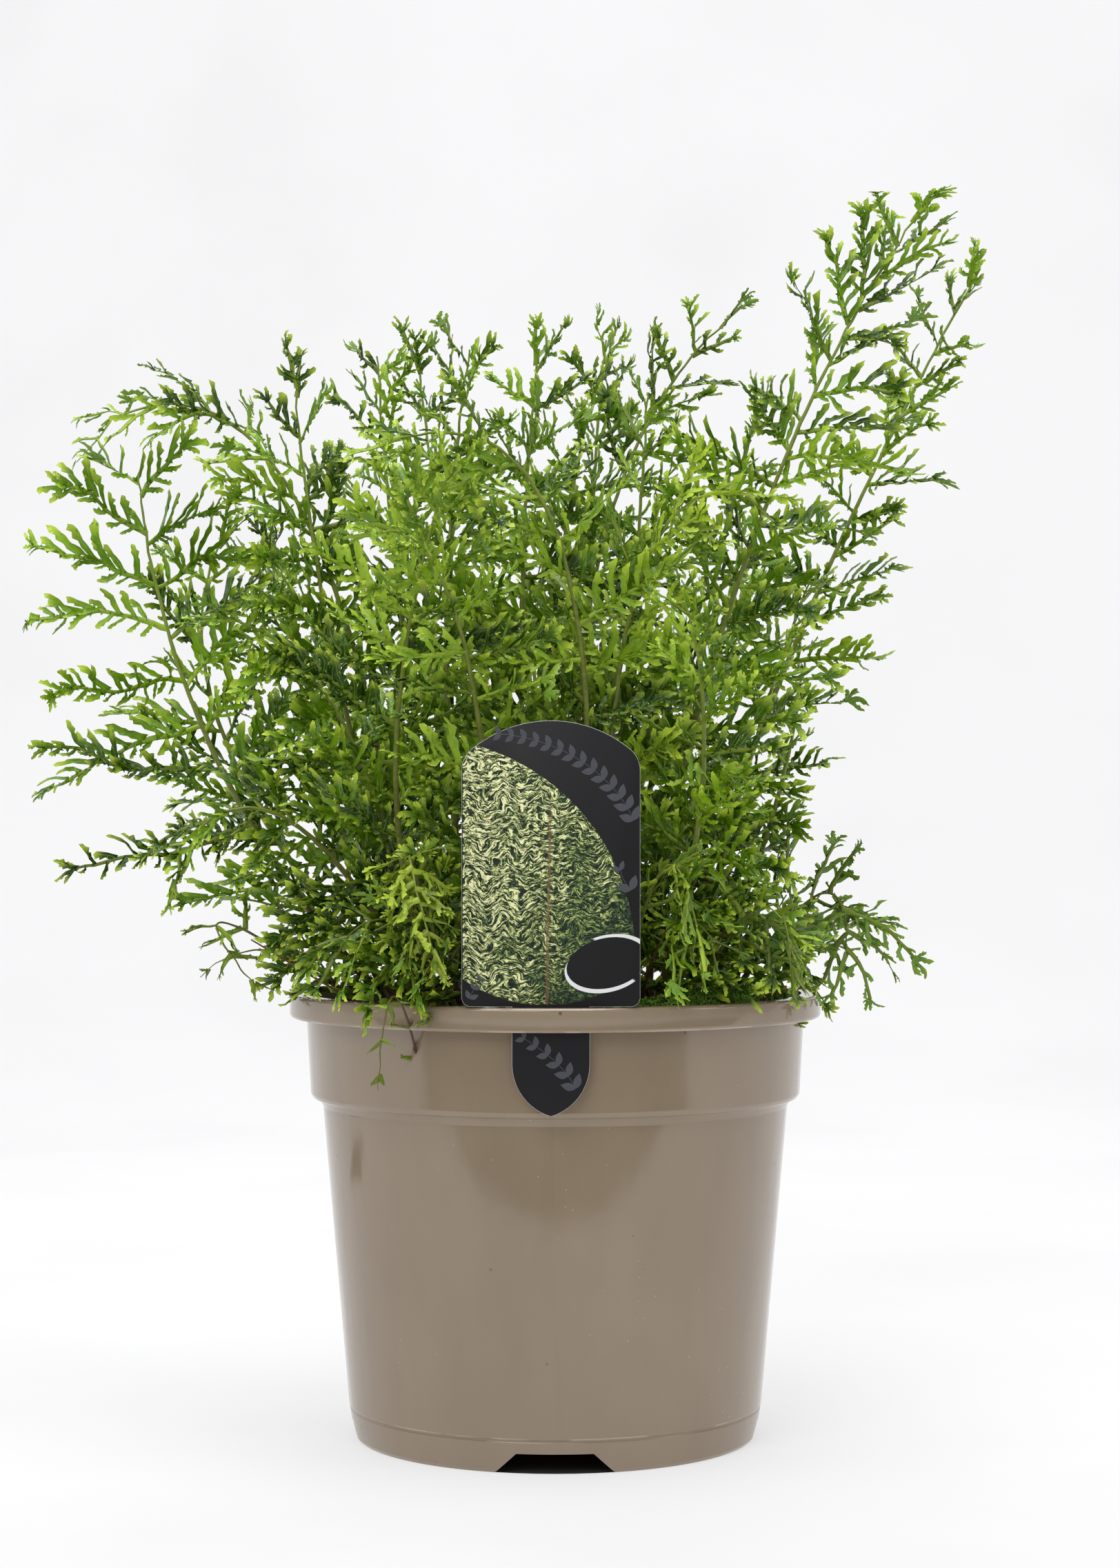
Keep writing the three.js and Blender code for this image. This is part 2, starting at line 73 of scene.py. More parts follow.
# Fronds: foot (x, y), knee and tip of the rachis in millimetres, the bearing that the upper side looks
# to in degrees, the longest leaflet in millimetres, pairs of leaflets, and youth from 0 to 1.
FRONDS = {
    "tall_right": ((25, -26), (63, -44, 350), (133, -42, 439.5), -100, 48, 15, 0.1),
    "upper_right": ((40, 4), (84, 18, 298), (161, 20, 431), -120, 40, 14, 0.15),
    "rising_right": ((13, 24), (-10, 32, 350), (72, 34, 412), -75, 36, 13, 0.1),
    "arching_left": ((-50, 1), (-80, -8, 418), (-168, -14, 356), -60, 36, 14, 0.25),
    "far_left": ((-57, -7), (-140, -24, 238), (-147, -28, 350), -78, 82, 12, 0.1),
    "outer_left": ((-55, 19), (-160, 26, 268), (-119, 32, 331), -60, 38, 11, 0.15),
    "front_left": ((-37, -38), (-74, -54, 232), (-32, -86, 346), -80, 42, 13, 0.35),
    "middle_left": ((-27, -7), (-50, -2, 282), (-29, -6, 396), -125, 40, 14, 0.0),
    "middle_arching": ((8, -38), (28, -52, 388), (-62, -76, 344), -95, 38, 14, 0.3),
    "middle": ((-6, -31), (-18, -34, 280), (-5, -30, 393), -55, 38, 13, 0.1),
    "upright_right": ((33, 8), (42, 10, 250), (74, 14, 372), -40, 40, 12, 0.0),
    "pale_arching": ((19, -40), (10, -44, 364), (76, -64, 326), -110, 34, 12, 0.6),
    "back_middle": ((-3, 22), (-8, 26, 330), (22, 28, 395), -30, 36, 13, 0.0),
    "back_right": ((16, 42), (8, 54, 310), (20, 62, 409), -50, 38, 12, 0.1),
    "back_left": ((-10, 41), (-42, 62, 300), (-54, 74, 406), -100, 38, 12, 0.0),
    "tall_left": ((-35, 14), (-60, 30, 292), (-67, 38, 400), -130, 38, 13, 0.1),
    "upright_left": ((-43, -8), (-86, -18, 272), (-93, -16, 385), -35, 38, 12, 0.0),
    "slim_middle": ((14, -14), (28, -14, 280), (33, -20, 377), -140, 34, 12, 0.1),
    "broad_right": ((45, -20), (70, -34, 256), (88, -58, 304), -40, 32, 11, 0.2),
    "side_right": ((50, -7), (84, -10, 222), (88, -18, 278), -20, 30, 10, 0.0),
    "front_right": ((33, -46), (62, -70, 240), (42, -88, 296), -120, 34, 10, 0.25),
    "low_left": ((-44, -30), (-96, -52, 262), (-132, -62, 204), -100, 34, 10, 0.2),
    "inner_left": ((-46, -17), (-66, -34, 286), (-118, -48, 290), -60, 38, 11, 0.1),
    "front_middle": ((-18, -38), (-24, -74, 338), (-62, -126, 310), -90, 32, 12, 0.3),
    "curled_left": ((-63, -26), (-150, -38, 214), (-98, -48, 157), -100, 18, 9, 0.3),
    "young_front": ((-33, -54), (-62, -84, 258), (-37, -92, 163), -90, 16, 9, 1.0),
    "low_right": ((60, -2), (108, -10, 228), (103, -14, 166), 100, 30, 9, 0.1),
    "drooping_right": ((45, -34), (80, -72, 226), (79, -78, 162), 20, 18, 8, 0.7),
    "rim_right": ((22, -52), (40, -84, 252), (50, -90, 163), 160, 16, 8, 0.7),
    "rim_left": ((-68, -14), (-100, -26, 190), (-126, -34, 163), 90, 9, 6, 0.3),
    "rim_front": ((-44, -66), (-55, -106, 197), (-58, -101, 127), 90, 7, 7, 0.2),
    "rear_left": ((-52, 26), (-98, 62, 280), (-110, 84, 330), -20, 42, 12, 0.0),
    "rear_middle": ((2, 49), (-10, 92, 300), (-14, 118, 338), -75, 42, 12, 0.0),
    "rear_right": ((28, 46), (60, 84, 280), (74, 106, 330), -160, 42, 12, 0.0),
    "rear_low_left": ((-26, 44), (-62, 100, 250), (-78, 124, 246), -30, 38, 10, 0.1),
    "rear_low_right": ((42, 30), (70, 74, 250), (76, 104, 244), -150, 30, 10, 0.1),
    "rear_low_middle": ((14, 55), (24, 112, 236), (26, 134, 222), -110, 32, 9, 0.1),
}
# Short fronds low on the crowns: foot, knee and tip in millimetres, then the bearing of the upper side.
BASAL = (
    ((-40, -45), (-50, -74, 204), (-72, -80, 178), -100),
    ((-25, -50), (-32, -78, 208), (-48, -86, 184), -80),
    ((-58, -20), (-78, -38, 204), (-88, -44, 182), -110),
    ((28, -48), (38, -72, 204), (54, -80, 178), -70),
    ((36, -34), (50, -52, 232), (70, -58, 206), -90),
    ((45, -36), (62, -58, 208), (80, -58, 176), -60),
    ((56, -18), (70, -30, 198), (84, -30, 176), -80),
    ((0, 50), (0, 76, 204), (-12, 86, 180), 90),
    ((30, 45), (50, 68, 204), (62, 76, 178), 60),
    ((-35, 40), (-55, 66, 208), (-70, 72, 182), 120),
)
# What sets some fronds apart: values of the frond tree's inputs.
HABITS = {
    "side_right": {"Leaflet Length": 0.015},
    "broad_right": {"Leaflet Length": 0.02},
    "upright_right": {"Leaflet Length": 0.031},
    "tall_right": {"Pairs": 23, "Leaflet Length": 0.042},
    "upper_right": {"Pairs": 19, "Leaflet Length": 0.034},
    "rising_right": {"Pairs": 17, "Leaflet Length": 0.033},
    "far_left": {
        "Pairs": 8, "Leaflet Length": 0.06, "Curl": 0.1, "Droop": 0.2, "Sway": 0.016, "Bare Stalk": 0.3},
    "arching_left": {"Curl": 0.3, "Droop": 0.3},
    "curled_left": {"Stalk Radius": 0.0008, "Bare Stalk": 0.02, "Leaflet Length": 0.012, "Pairs": 7},
    "young_front": {
        "Stalk Radius": 0.0009, "Leaflet Length": 0.013, "Pairs": 17, "Lobe Share": 0.55, "Droop": 0.3},
    "low_right": {"Stalk Radius": 0.0009, "Curl": 0.3, "Leaflet Length": 0.031},
    "drooping_right": {"Stalk Radius": 0.0008, "Leaflet Length": 0.022},
    "rim_right": {"Stalk Radius": 0.0007, "Leaflet Length": 0.019},
    "rim_left": {"Stalk Radius": 0.0006, "Leaflet Length": 0.006, "Pairs": 5, "Droop": 0.0},
    "rim_front": {"Stalk Radius": 0.0006, "Leaflet Length": 0.007, "Pairs": 6},
}
BASAL_HABIT = {
    "Pairs": 6, "Leaflet Length": 30 * MM, "Lobe Spacing": 3 * MM, "Lobe Share": 0.42, "Droop": 0.3,
    "Curl": 0.1, "Sway": 5 * MM, "Youth": 0.15, "Stalk Radius": 0.8 * MM,
}
PAIRS_FACTOR = 1.06
SEED_STEP = 31
BASAL_SEED = 1700
YOUNG_SLOT = ("young_front", "pale_arching", "drooping_right", "rim_right")
CROWNS = ("crown_left", "crown_middle", "crown_right", "crown_back")
CUSHIONS = ("moss_front_right", "moss_right", "moss_front_left", "moss_back_left", "moss_back_right")
DEAD_STALKS = {
    "dead_stalk_left": (0.55, ((-62, -44, 152.6), (-78, -50, 163), (-104, -54, 179))),
    "dead_stalk_crossing": (0.5, ((-70, -30, 152.6), (-84, -40, 174), (-96, -44, 192))),
    "dead_stalk_right": (0.7, ((66, -38, 152.6), (74, -46, 159.5), (90, -55, 163))),
}


# ---------------------------------------------------------------- node graphs


def is_vector(value):
    """Whether a wire or a plain value holds a vector or a colour."""
    if isinstance(value, Wire):
        return value.socket.type in ("VECTOR", "RGBA")
    return isinstance(value, (tuple, Vector))


def arithmetic(operation, swapped=False):
    """A method for one of Python's signs, which adds the node that works it out."""

    def method(self, other):
        first, second = (other, self) if swapped else (self, other)
        return self.graph.sum(operation, first, second)

    return method


class Wire:
    """A node's output, so that sums on it are written as Python."""

    def __init__(self, graph, socket):
        self.graph = graph
        self.socket = socket

    __add__ = arithmetic("ADD")
    __radd__ = arithmetic("ADD", swapped=True)
    __sub__ = arithmetic("SUBTRACT")
    __rsub__ = arithmetic("SUBTRACT", swapped=True)
    __truediv__ = arithmetic("DIVIDE")
    __pow__ = arithmetic("POWER")
    __mod__ = arithmetic("FLOORED_MODULO")
    __lt__ = arithmetic("LESS_THAN")
    __gt__ = arithmetic("GREATER_THAN")

    def __mul__(self, other):
        return self.graph.product(self, other)

    __rmul__ = __mul__

    def also(self, output):
        """Another output of the same node."""
        return Wire(self.graph, self.socket.node.outputs[output])

    def axis(self, letter):
        """One number of a vector."""
        return self.graph.node("ShaderNodeSeparateXYZ", inputs={"Vector": self}, output=letter)


class Graph:
    """Builds the nodes of one tree."""

    def __init__(self, tree):
        self.tree = tree

    def node(self, kind, settings=None, inputs=None, output=0):
        """A node with its settings, then the values or links of its inputs; gives one of its outputs."""
        made = self.tree.nodes.new(kind)
        for name, value in (settings or {}).items():
            if name == "stops":
                self.set_stops(made.color_ramp, value)
            else:
                setattr(made, name, value)
        for key, value in (inputs or {}).items():
            self.feed(made.inputs[key], value)
        return Wire(self, made.outputs[output]) if len(made.outputs) else made

    def feed(self, socket, value):
        """Links a wire to a socket, or sets a plain value on it."""
        if isinstance(value, Wire):
            self.tree.links.new(value.socket, socket)
        elif socket.type == "RGBA" and len(value) == 3:
            socket.default_value = (*value, 1)
        else:
            socket.default_value = value

    @staticmethod
    def set_stops(ramp, stops):
        """Gives a colour ramp its (place, colour) stops."""
        while len(ramp.elements) < len(stops):
            ramp.elements.new(0.5)
        for element, (place, colour) in zip(ramp.elements, stops):
            element.position = place
            element.color = (*colour, 1)

    def sum(self, operation, first, second):
        """A Math node, or a Vector Math node where a vector is in it."""
        if is_vector(first) or is_vector(second):
            return self.vector_math(operation, first, second)
        return self.function(operation, first, second)

    def vector_math(self, operation, *vectors, output=0):
        """A Vector Math node."""
        settings = {"operation": operation}
        return self.node("ShaderNodeVectorMath", settings, dict(enumerate(vectors)), output)

    def product(self, first, second):
        """Two values multiplied; a vector may be multiplied by a number."""
        if is_vector(first) == is_vector(second):
            return self.sum("MULTIPLY", first, second)
        vector, number = (first, second) if is_vector(first) else (second, first)
        return self.node("ShaderNodeVectorMath", {"operation": "SCALE"}, {0: vector, "Scale": number})

    def dot(self, first, second):
        """The dot product of two vectors."""
        return self.vector_math("DOT_PRODUCT", first, second, output="Value")

    def cross(self, first, second):
        """The cross product of two vectors."""
        return self.vector_math("CROSS_PRODUCT", first, second)

    def unit(self, vector):
        """A vector at length one."""
        return self.vector_math("NORMALIZE", vector)

    def length(self, vector):
        """The length of a vector."""
        return self.vector_math("LENGTH", vector, output="Value")

    def function(self, operation, value, other=0.0):
        """One of the Math node's functions of a number."""
        return self.node("ShaderNodeMath", {"operation": operation}, {0: value, 1: other})

    def vector(self, x, y, z):
        """Three numbers as a vector."""
        return self.node("ShaderNodeCombineXYZ", inputs={0: x, 1: y, 2: z})

    def between(self, value, low, high, start=0.0, end=1.0, smooth=True):
        """Takes low to start and high to end, held at both."""
        kind = "SMOOTHSTEP" if smooth else "LINEAR"
        values = {"Value": value, 1: low, 2: high, 3: start, 4: end}
        return self.node("ShaderNodeMapRange", {"interpolation_type": kind}, values)

    def mix(self, share, first, second):
        """One colour over another."""
        return self.node("ShaderNodeMix", {"data_type": "RGBA"}, {0: share, 6: first, 7: second}, 2)

    def noise(self, vector, scale, detail=2.0, roughness=0.5, warp=0.0):
        """A noise value from 0 to 1."""
        values = {"Vector": vector, "Scale": scale, "Detail": detail, "Roughness": roughness}
        return self.node("ShaderNodeTexNoise", inputs=values | {"Distortion": warp})

    def dots(self, vector, scale, small, large):
        """Small round dots, one in each cell of a scattered pattern."""
        values = {"Vector": vector, "Scale": scale}
        away = self.node("ShaderNodeTexVoronoi", {"feature": "F1"}, values, "Distance")
        return 1 - self.between(away, small, large)


def shade(red, green, blue):
    """A colour on the 0 to 255 scale of a screen, as the linear colour that light adds up in."""
    parts = (part / 255 for part in (red, green, blue))
    return tuple(
        part / 12.92 if part <= 0.04045 else ((part + 0.055) / 1.055) ** 2.4 for part in parts)


def times(colour, factor):
    """A colour made lighter or darker."""
    return tuple(min(part * factor, 1.0) for part in colour)


def surface(name, paint, **constants):
    """A material whose paint function gives the colour, roughness and bump height from the graph."""
    made = bpy.data.materials.new(name)
    made.use_nodes = True
    graph = Graph(made.node_tree)
    shader = made.node_tree.nodes["Principled BSDF"]
    place = graph.node("ShaderNodeTexCoord", output="Object")
    painted = paint(graph, place)
    graph.feed(shader.inputs["Base Color"], painted["colour"])
    graph.feed(shader.inputs["Roughness"], painted["roughness"])
    if "height" in painted:
        inputs = {label.capitalize(): painted[label] for label in ("height", "strength", "distance")}
        graph.feed(shader.inputs["Normal"], graph.node("ShaderNodeBump", inputs=inputs))
    for socket, value in constants.items():
        shader.inputs[socket.replace("_", " ")].default_value = value
    return made


def geometry_tree(name, sockets):
    """A geometry tree with named inputs; gives the tree, its graph and its inputs as wires."""
    tree = bpy.data.node_groups.new(name, "GeometryNodeTree")
    tree.interface.new_socket("Geometry", in_out="INPUT", socket_type="NodeSocketGeometry")
    for label, kind, value in sockets:
        socket = tree.interface.new_socket(label, in_out="INPUT", socket_type="NodeSocket" + kind)
        if value is not None:
            socket.default_value = value
    tree.interface.new_socket("Geometry", in_out="OUTPUT", socket_type="NodeSocketGeometry")
    graph = Graph(tree)
    group = tree.nodes.new("NodeGroupInput")
    given = {output.name: Wire(graph, output) for output in group.outputs if output.name}
    return tree, graph, given


def close_tree(graph, geometry, material):
    """Ends a tree: instances made real, the material set, and the result given out."""
    real = graph.node("GeometryNodeRealizeInstances", inputs={"Geometry": geometry})
    painted = graph.node("GeometryNodeSetMaterial", inputs={"Geometry": real, "Material": material})
    out = graph.tree.nodes.new("NodeGroupOutput")
    graph.feed(out.inputs[0], painted)


def random_value(graph, low, high, seed, offset):
    """A random number for each point."""
    values = {2: low, 3: high, "Seed": seed + offset}
    return graph.node("FunctionNodeRandomValue", {"data_type": "FLOAT"}, values, 1)


def random_pick(graph, seed, offset):
    """The number of one of a collection's three templates, for each point."""
    values = {4: 0, 5: TEMPLATES - 1, "Seed": seed + offset}
    return graph.node("FunctionNodeRandomValue", {"data_type": "INT"}, values, 2)


def drift(graph, vector, scale):
    """A smooth random vector, as often to one side as to the other."""
    inputs = {"Vector": vector, "Scale": scale, "Detail": 1.0}
    return graph.node("ShaderNodeTexNoise", inputs=inputs, output=1) - (0.5, 0.5, 0.5)


def named(graph, label, kind="FLOAT"):
    """The value of a named attribute."""
    return graph.node("GeometryNodeInputNamedAttribute", {"data_type": kind}, {"Name": label})


def kept(graph, geometry, label, value, kind="FLOAT"):
    """Geometry with a value stored on its points."""
    inputs = {"Geometry": geometry, "Name": label, "Value": value}
    settings = {"data_type": kind, "domain": "POINT"}
    return graph.node("GeometryNodeStoreNamedAttribute", settings, inputs)


def placed(graph, geometry, offset):
    """Geometry with its points moved."""
    inputs = {"Geometry": geometry, "Offset": offset}
    return graph.node("GeometryNodeSetPosition", inputs=inputs)


def joined(graph, first, *others):
    """Several geometries as one."""
    whole = graph.node("GeometryNodeJoinGeometry", inputs={"Geometry": first})
    for other in others:
        graph.feed(whole.socket.node.inputs[0], other)
    return whole


def resampled(graph, curve, length):
    """A curve with its points at even distances."""
    inputs = {"Curve": curve, "Length": length}
    return graph.node("GeometryNodeResampleCurve", {"mode": "LENGTH"}, inputs)


def scattered(graph, points, shape, rotation, scale, **more):
    """A shape set on every point."""
    inputs = {"Points": points, "Instance": shape, "Rotation": rotation, "Scale": scale}
    return graph.node("GeometryNodeInstanceOnPoints", inputs=inputs | more)


def all_of(graph, collection):
    """The templates of a collection, each to be picked by its number."""
    inputs = {"Collection": collection, "Separate Children": True, "Reset Children": True}
    return graph.node("GeometryNodeCollectionInfo", inputs=inputs)


def shape_of(graph, template_object):
    """The shape of an object that serves as a template."""
    inputs = {"Object": template_object}
    return graph.node("GeometryNodeObjectInfo", inputs=inputs, output="Geometry")


def swept(graph, curve, radius, sides, flatness=1.0):
    """A tube of changing radius along a curve, flattened along the curve's normal if asked."""
    inputs = {"Resolution": sides, "Radius": 1.0}
    ring = graph.node("GeometryNodeCurvePrimitiveCircle", inputs=inputs)
    if flatness < 1:
        inputs = {"Geometry": ring, "Scale": (flatness, 1.0, 1.0)}
        ring = graph.node("GeometryNodeTransform", inputs=inputs)
    inputs = {"Curve": curve, "Profile Curve": ring, "Scale": radius, "Fill Caps": True}
    tube = graph.node("GeometryNodeCurveToMesh", inputs=inputs)
    return graph.node("GeometryNodeSetShadeSmooth", inputs={"Geometry": tube})


def turned_to(graph, forward, upward):
    """The rotation that takes X to forward and Z as near as it can to upward."""
    settings = {"primary_axis": "X", "secondary_axis": "Z"}
    inputs = {"Primary Axis": forward, "Secondary Axis": upward}
    return graph.node("FunctionNodeAxesToRotation", settings, inputs)


# ---------------------------------------------------------------- meshes and pieces


def linked(name, mesh):
    """A new object in the scene."""
    made = bpy.data.objects.new(name, mesh)
    bpy.context.scene.collection.objects.link(made)
    return made


def mesh_of(name, vertices, faces, edges=()):
    """A mesh from plain lists, its faces turned outwards where it has any."""
    mesh = bpy.data.meshes.new(name)
    mesh.from_pydata([tuple(v) for v in vertices], list(edges), list(faces))
    if faces:
        face_outwards(mesh)
    return mesh


def face_outwards(mesh, merge=0.0):
    """Merges doubles and turns every face of a closed mesh outwards."""
    work = bmesh.new()
    work.from_mesh(mesh)
    if merge:
        bmesh.ops.remove_doubles(work, verts=work.verts, dist=merge)
    bmesh.ops.recalc_face_normals(work, faces=work.faces)
    work.to_mesh(mesh)
    work.free()


def smooth(mesh, degrees):
    """Smooth shading, with edges sharper than an angle kept crisp."""
    mesh.shade_smooth()
    mesh.set_sharp_from_angle(angle=math.radians(degrees))


def baked(obj):
    """The evaluated mesh of an object with its modifiers applied and removed."""
    depsgraph = bpy.context.evaluated_depsgraph_get()
    depsgraph.update()
    mesh = bpy.data.meshes.new_from_object(obj.evaluated_get(depsgraph), depsgraph=depsgraph)
    obj.modifiers.clear()
    old = obj.data
    obj.data = mesh
    bpy.data.meshes.remove(old)
    mesh.name = obj.name
    return obj


def grown(name, base, tree, values):
    """A piece made by a geometry tree from a base mesh, as a plain mesh."""
    piece = linked(name, base)
    modifier = piece.modifiers.new("Build", "NODES")
    modifier.node_group = tree
    for item in tree.interface.items_tree:
        if item.in_out == "INPUT" and item.name in values:
            modifier[item.identifier] = values[item.name]
    return baked(piece)


def carved(name, body, cutters):
    """A mesh with other closed meshes cut from it."""
    piece = linked(name, body)
    tools = [linked(name + "_tool", cutter) for cutter in cutters]
    for tool in tools:
        cut = piece.modifiers.new("Cut", "BOOLEAN")
        cut.operation = "DIFFERENCE"
        cut.solver = "EXACT"
        cut.object = tool
    baked(piece)
    for tool in tools:
        bpy.data.objects.remove(tool)
    mesh = piece.data
    bpy.data.objects.remove(piece)
    return mesh


def settle(piece, slot, *nodes):
    """Rides a finished piece on the pot's body, in the place of its CAD nodes."""
    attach(piece, BODY)
    if nodes:
        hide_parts(*nodes)


def rounded(line, radius, steps=3):
    """A line of (across, up) points with its inner corners rounded off."""
    points = [Vector(point) for point in line]
    made = [points[0]]
    for before, corner, after in zip(points, points[1:], points[2:]):
        reach = min(radius, (before - corner).length * 0.45, (after - corner).length * 0.45)
        start = corner + (before - corner).normalized() * reach
        end = corner + (after - corner).normalized() * reach
        for step in range(steps + 1):
            share = step / steps
            made.append(start.lerp(corner, share).lerp(corner.lerp(end, share), share))
    made.append(points[-1])
    return made


def turned(name, profile, segments):
    """A closed mesh from a (radius, height) profile turned about the vertical axis."""
    vertices = []
    rings = []
    for radius, height in profile:
        count = 1 if radius < 1e-7 else segments
        rings.append([len(vertices) + i for i in range(count)])
        for i in range(count):
            angle = 2 * math.pi * i / segments
            vertices.append((radius * math.cos(angle), radius * math.sin(angle), height))
    faces = []
    for lower, upper in zip(rings, rings[1:]):
        for i in range(segments):
            j = (i + 1) % segments
            below = (lower[i % len(lower)], lower[j % len(lower)])
            above = (upper[j % len(upper)], upper[i % len(upper)])
            face = tuple(dict.fromkeys(below + above))
            if len(face) > 2:
                faces.append(face)
    return mesh_of(name, vertices, faces)


def prism(name, outline, low, high):
    """A closed prism from an outline of (x, z) points, from one y to another."""
    count = len(outline)
    vertices = [(x, low, z) for x, z in outline] + [(x, high, z) for x, z in outline]
    sides = [(i, (i + 1) % count, count + (i + 1) % count, count + i) for i in range(count)]
    return mesh_of(name, vertices, [tuple(range(count)), tuple(range(count, 2 * count)), *sides])


def bezier(start, bend, end, share):
    """A point on a curve that leaves its start towards the bend and comes to its end from there."""
    return start.lerp(bend, share).lerp(bend.lerp(end, share), share)


def line_mesh(name, spots):
    """A mesh of edges only, through a row of points."""
    return mesh_of(name, spots, (), [(i, i + 1) for i in range(len(spots) - 1)])


def tube_faces(first, rows):
    """The sides of a four-cornered tube, row by row, then the fan that closes it on its tip."""
    faces = []
    for row in range(rows - 1):
        for k in range(4):
            a, b = first + 4 * row + k, first + 4 * row + (k + 1) % 4
            faces.append((a, a + 4, b + 4, b))
    last = first + 4 * (rows - 1)
    return faces + [(last + k, last + 4, last + (k + 1) % 4) for k in range(4)]


def template(name, mesh, **attributes):
    """A small shape for instancing, kept out of the scene, with a value of each attribute per vertex."""
    for label, values in attributes.items():
        layer = mesh.attributes.new(label, "FLOAT", "POINT")
        layer.data.foreach_set("value", values)
    return bpy.data.objects.new(name, mesh)


def gathered(name, objects):
    """A collection of templates for a tree to pick from."""
    made = bpy.data.collections.new(name)
    for obj in objects:
        made.objects.link(obj)
    return made


# ---------------------------------------------------------------- settings


class FernSettings(bpy.types.PropertyGroup):
    """Sizes and colours of the plant."""

    spacing: bpy.props.FloatProperty(
        name="Lobe Spacing", description="Distance between leaflet lobes, on alternate sides",
        default=2.25 * MM, min=1 * MM, max=10 * MM, subtype="DISTANCE", unit="LENGTH")
    lobe_share: bpy.props.FloatProperty(
        name="Lobe Share", description="Length of a lobe as a share of its leaflet",
        default=0.38, min=0.1, max=0.6, subtype="FACTOR")
    droop: bpy.props.FloatProperty(
        name="Droop", description="How far a leaflet hangs, in leaflet lengths",
        default=0.12, min=0.0, max=1.0, subtype="FACTOR")
    curl: bpy.props.FloatProperty(
        name="Curl", description="How far a leaflet curls towards the frond's tip, in leaflet lengths",
        default=0.12, min=0.0, max=1.0, subtype="FACTOR")
    sway: bpy.props.FloatProperty(
        name="Sway", description="How far leaflets wander from a straight line",
        default=6 * MM, min=0.0, max=20 * MM, subtype="DISTANCE", unit="LENGTH")
    # The dark end of the leaf colours: older leaflets, and also the painted shade on leaflets low in the
    # plant.
    leaf_dark: bpy.props.FloatVectorProperty(
        name="Old Leaf", description="Colour of the oldest leaflets",
        default=shade(36, 70, 0), min=0, max=1, size=3, subtype="COLOR")
    leaf_mid: bpy.props.FloatVectorProperty(
        name="Leaf", description="Usual colour of the leaflets",
        default=shade(110, 158, 2), min=0, max=1, size=3, subtype="COLOR")
    leaf_pale: bpy.props.FloatVectorProperty(
        name="Young Leaf", description="Colour of young leaflets and of lobe tips",
        default=shade(198, 222, 66), min=0, max=1, size=3, subtype="COLOR")
    leaf_under: bpy.props.FloatVectorProperty(
        name="Underside", description="Colour of the underside",
        default=shade(112, 150, 52), min=0, max=1, size=3, subtype="COLOR")
    stalk: bpy.props.FloatVectorProperty(
        name="Stalk", description="Colour of the upper stalks",
        default=shade(126, 136, 60), min=0, max=1, size=3, subtype="COLOR")
    stalk_foot: bpy.props.FloatVectorProperty(
        name="Stalk Foot", description="Colour of the stalks near the compost",
        default=shade(84, 58, 34), min=0, max=1, size=3, subtype="COLOR")


class PotSettings(bpy.types.PropertyGroup):
    """Sizes and colours of the pot and the label."""

    segments: bpy.props.IntProperty(
        name="Segments", description="Steps round the pot", default=160, min=32, max=512)
    plastic: bpy.props.FloatVectorProperty(
        name="Plastic", description="Colour of the pot",
        default=shade(143, 126, 105), min=0, max=1, size=3, subtype="COLOR")
    roughness: bpy.props.FloatProperty(
        name="Roughness", description="How dull the plastic is",
        default=0.05, min=0.0, max=1.0, subtype="FACTOR")
    card: bpy.props.FloatVectorProperty(
        name="Label", description="Ground colour of the label",
        default=shade(26, 25, 28), min=0, max=1, size=3, subtype="COLOR")
    sprig: bpy.props.FloatVectorProperty(
        name="Sprigs", description="Colour of the sprigs printed on the label",
        default=shade(70, 71, 78), min=0, max=1, size=3, subtype="COLOR")


class GroundSettings(bpy.types.PropertyGroup):
    """Colours and amounts of what covers the top of the pot."""

    crumbs: bpy.props.FloatProperty(
        name="Crumbs", description="Compost crumbs for each square metre",
        default=110000.0, min=0.0, max=500000.0)
    shoots: bpy.props.FloatProperty(
        name="Moss Shoots", description="Moss shoots for each square metre",
        default=1700000.0, min=0.0, max=4000000.0)
    compost: bpy.props.FloatVectorProperty(
        name="Compost", description="Colour of the compost",
        default=shade(52, 38, 27), min=0, max=1, size=3, subtype="COLOR")
    moss: bpy.props.FloatVectorProperty(
        name="Moss", description="Colour of the moss",
        default=shade(92, 128, 26), min=0, max=1, size=3, subtype="COLOR")
    scales: bpy.props.FloatVectorProperty(
        name="Crown Scales", description="Colour of the papery scales on the crowns",
        default=shade(122, 84, 50), min=0, max=1, size=3, subtype="COLOR")


class StageSettings(bpy.types.PropertyGroup):
    """The backdrop, the lights and the camera."""

    glow: bpy.props.FloatProperty(
        name="Glow", description="Light that the backdrop gives off by itself",
        default=0.61, min=0.0, max=2.0)
    backdrop: bpy.props.FloatVectorProperty(
        name="Backdrop", description="Colour of the floor and backdrop",
        default=(0.32, 0.32, 0.325), min=0, max=1, size=3, subtype="COLOR")
    ambient: bpy.props.FloatProperty(
        name="Ambient", description="Strength of the light from all sides", default=0.4, min=0.0, max=5.0)
    lens: bpy.props.FloatProperty(
        name="Focal Length", description="Focal length of the camera in millimetres",
        default=71.5, min=10.0, max=300.0)


# ---------------------------------------------------------------- leaf shapes

# One lobe of a leaflet: (along, half width) from its foot to just short of its tip, as shares.
LOBE_EDGES = (
    (
        (0.0, 1.2), (0.12, 0.62), (0.3, 0.8), (0.42, 0.66),
        (0.58, 0.98), (0.66, 0.68), (0.82, 0.96), (0.9, 0.5),
    ),
    (
        (0.0, 1.1), (0.14, 0.58), (0.34, 0.72), (0.5, 0.86),
        (0.58, 0.62), (0.74, 1.08), (0.82, 0.66), (0.95, 0.56),
    ),
    (
        (0.0, 1.1), (0.16, 0.52), (0.4, 0.74), (0.54, 0.6),
        (0.7, 0.92), (0.79, 0.6), (0.92, 0.74), (0.96, 0.4),
    ),
)
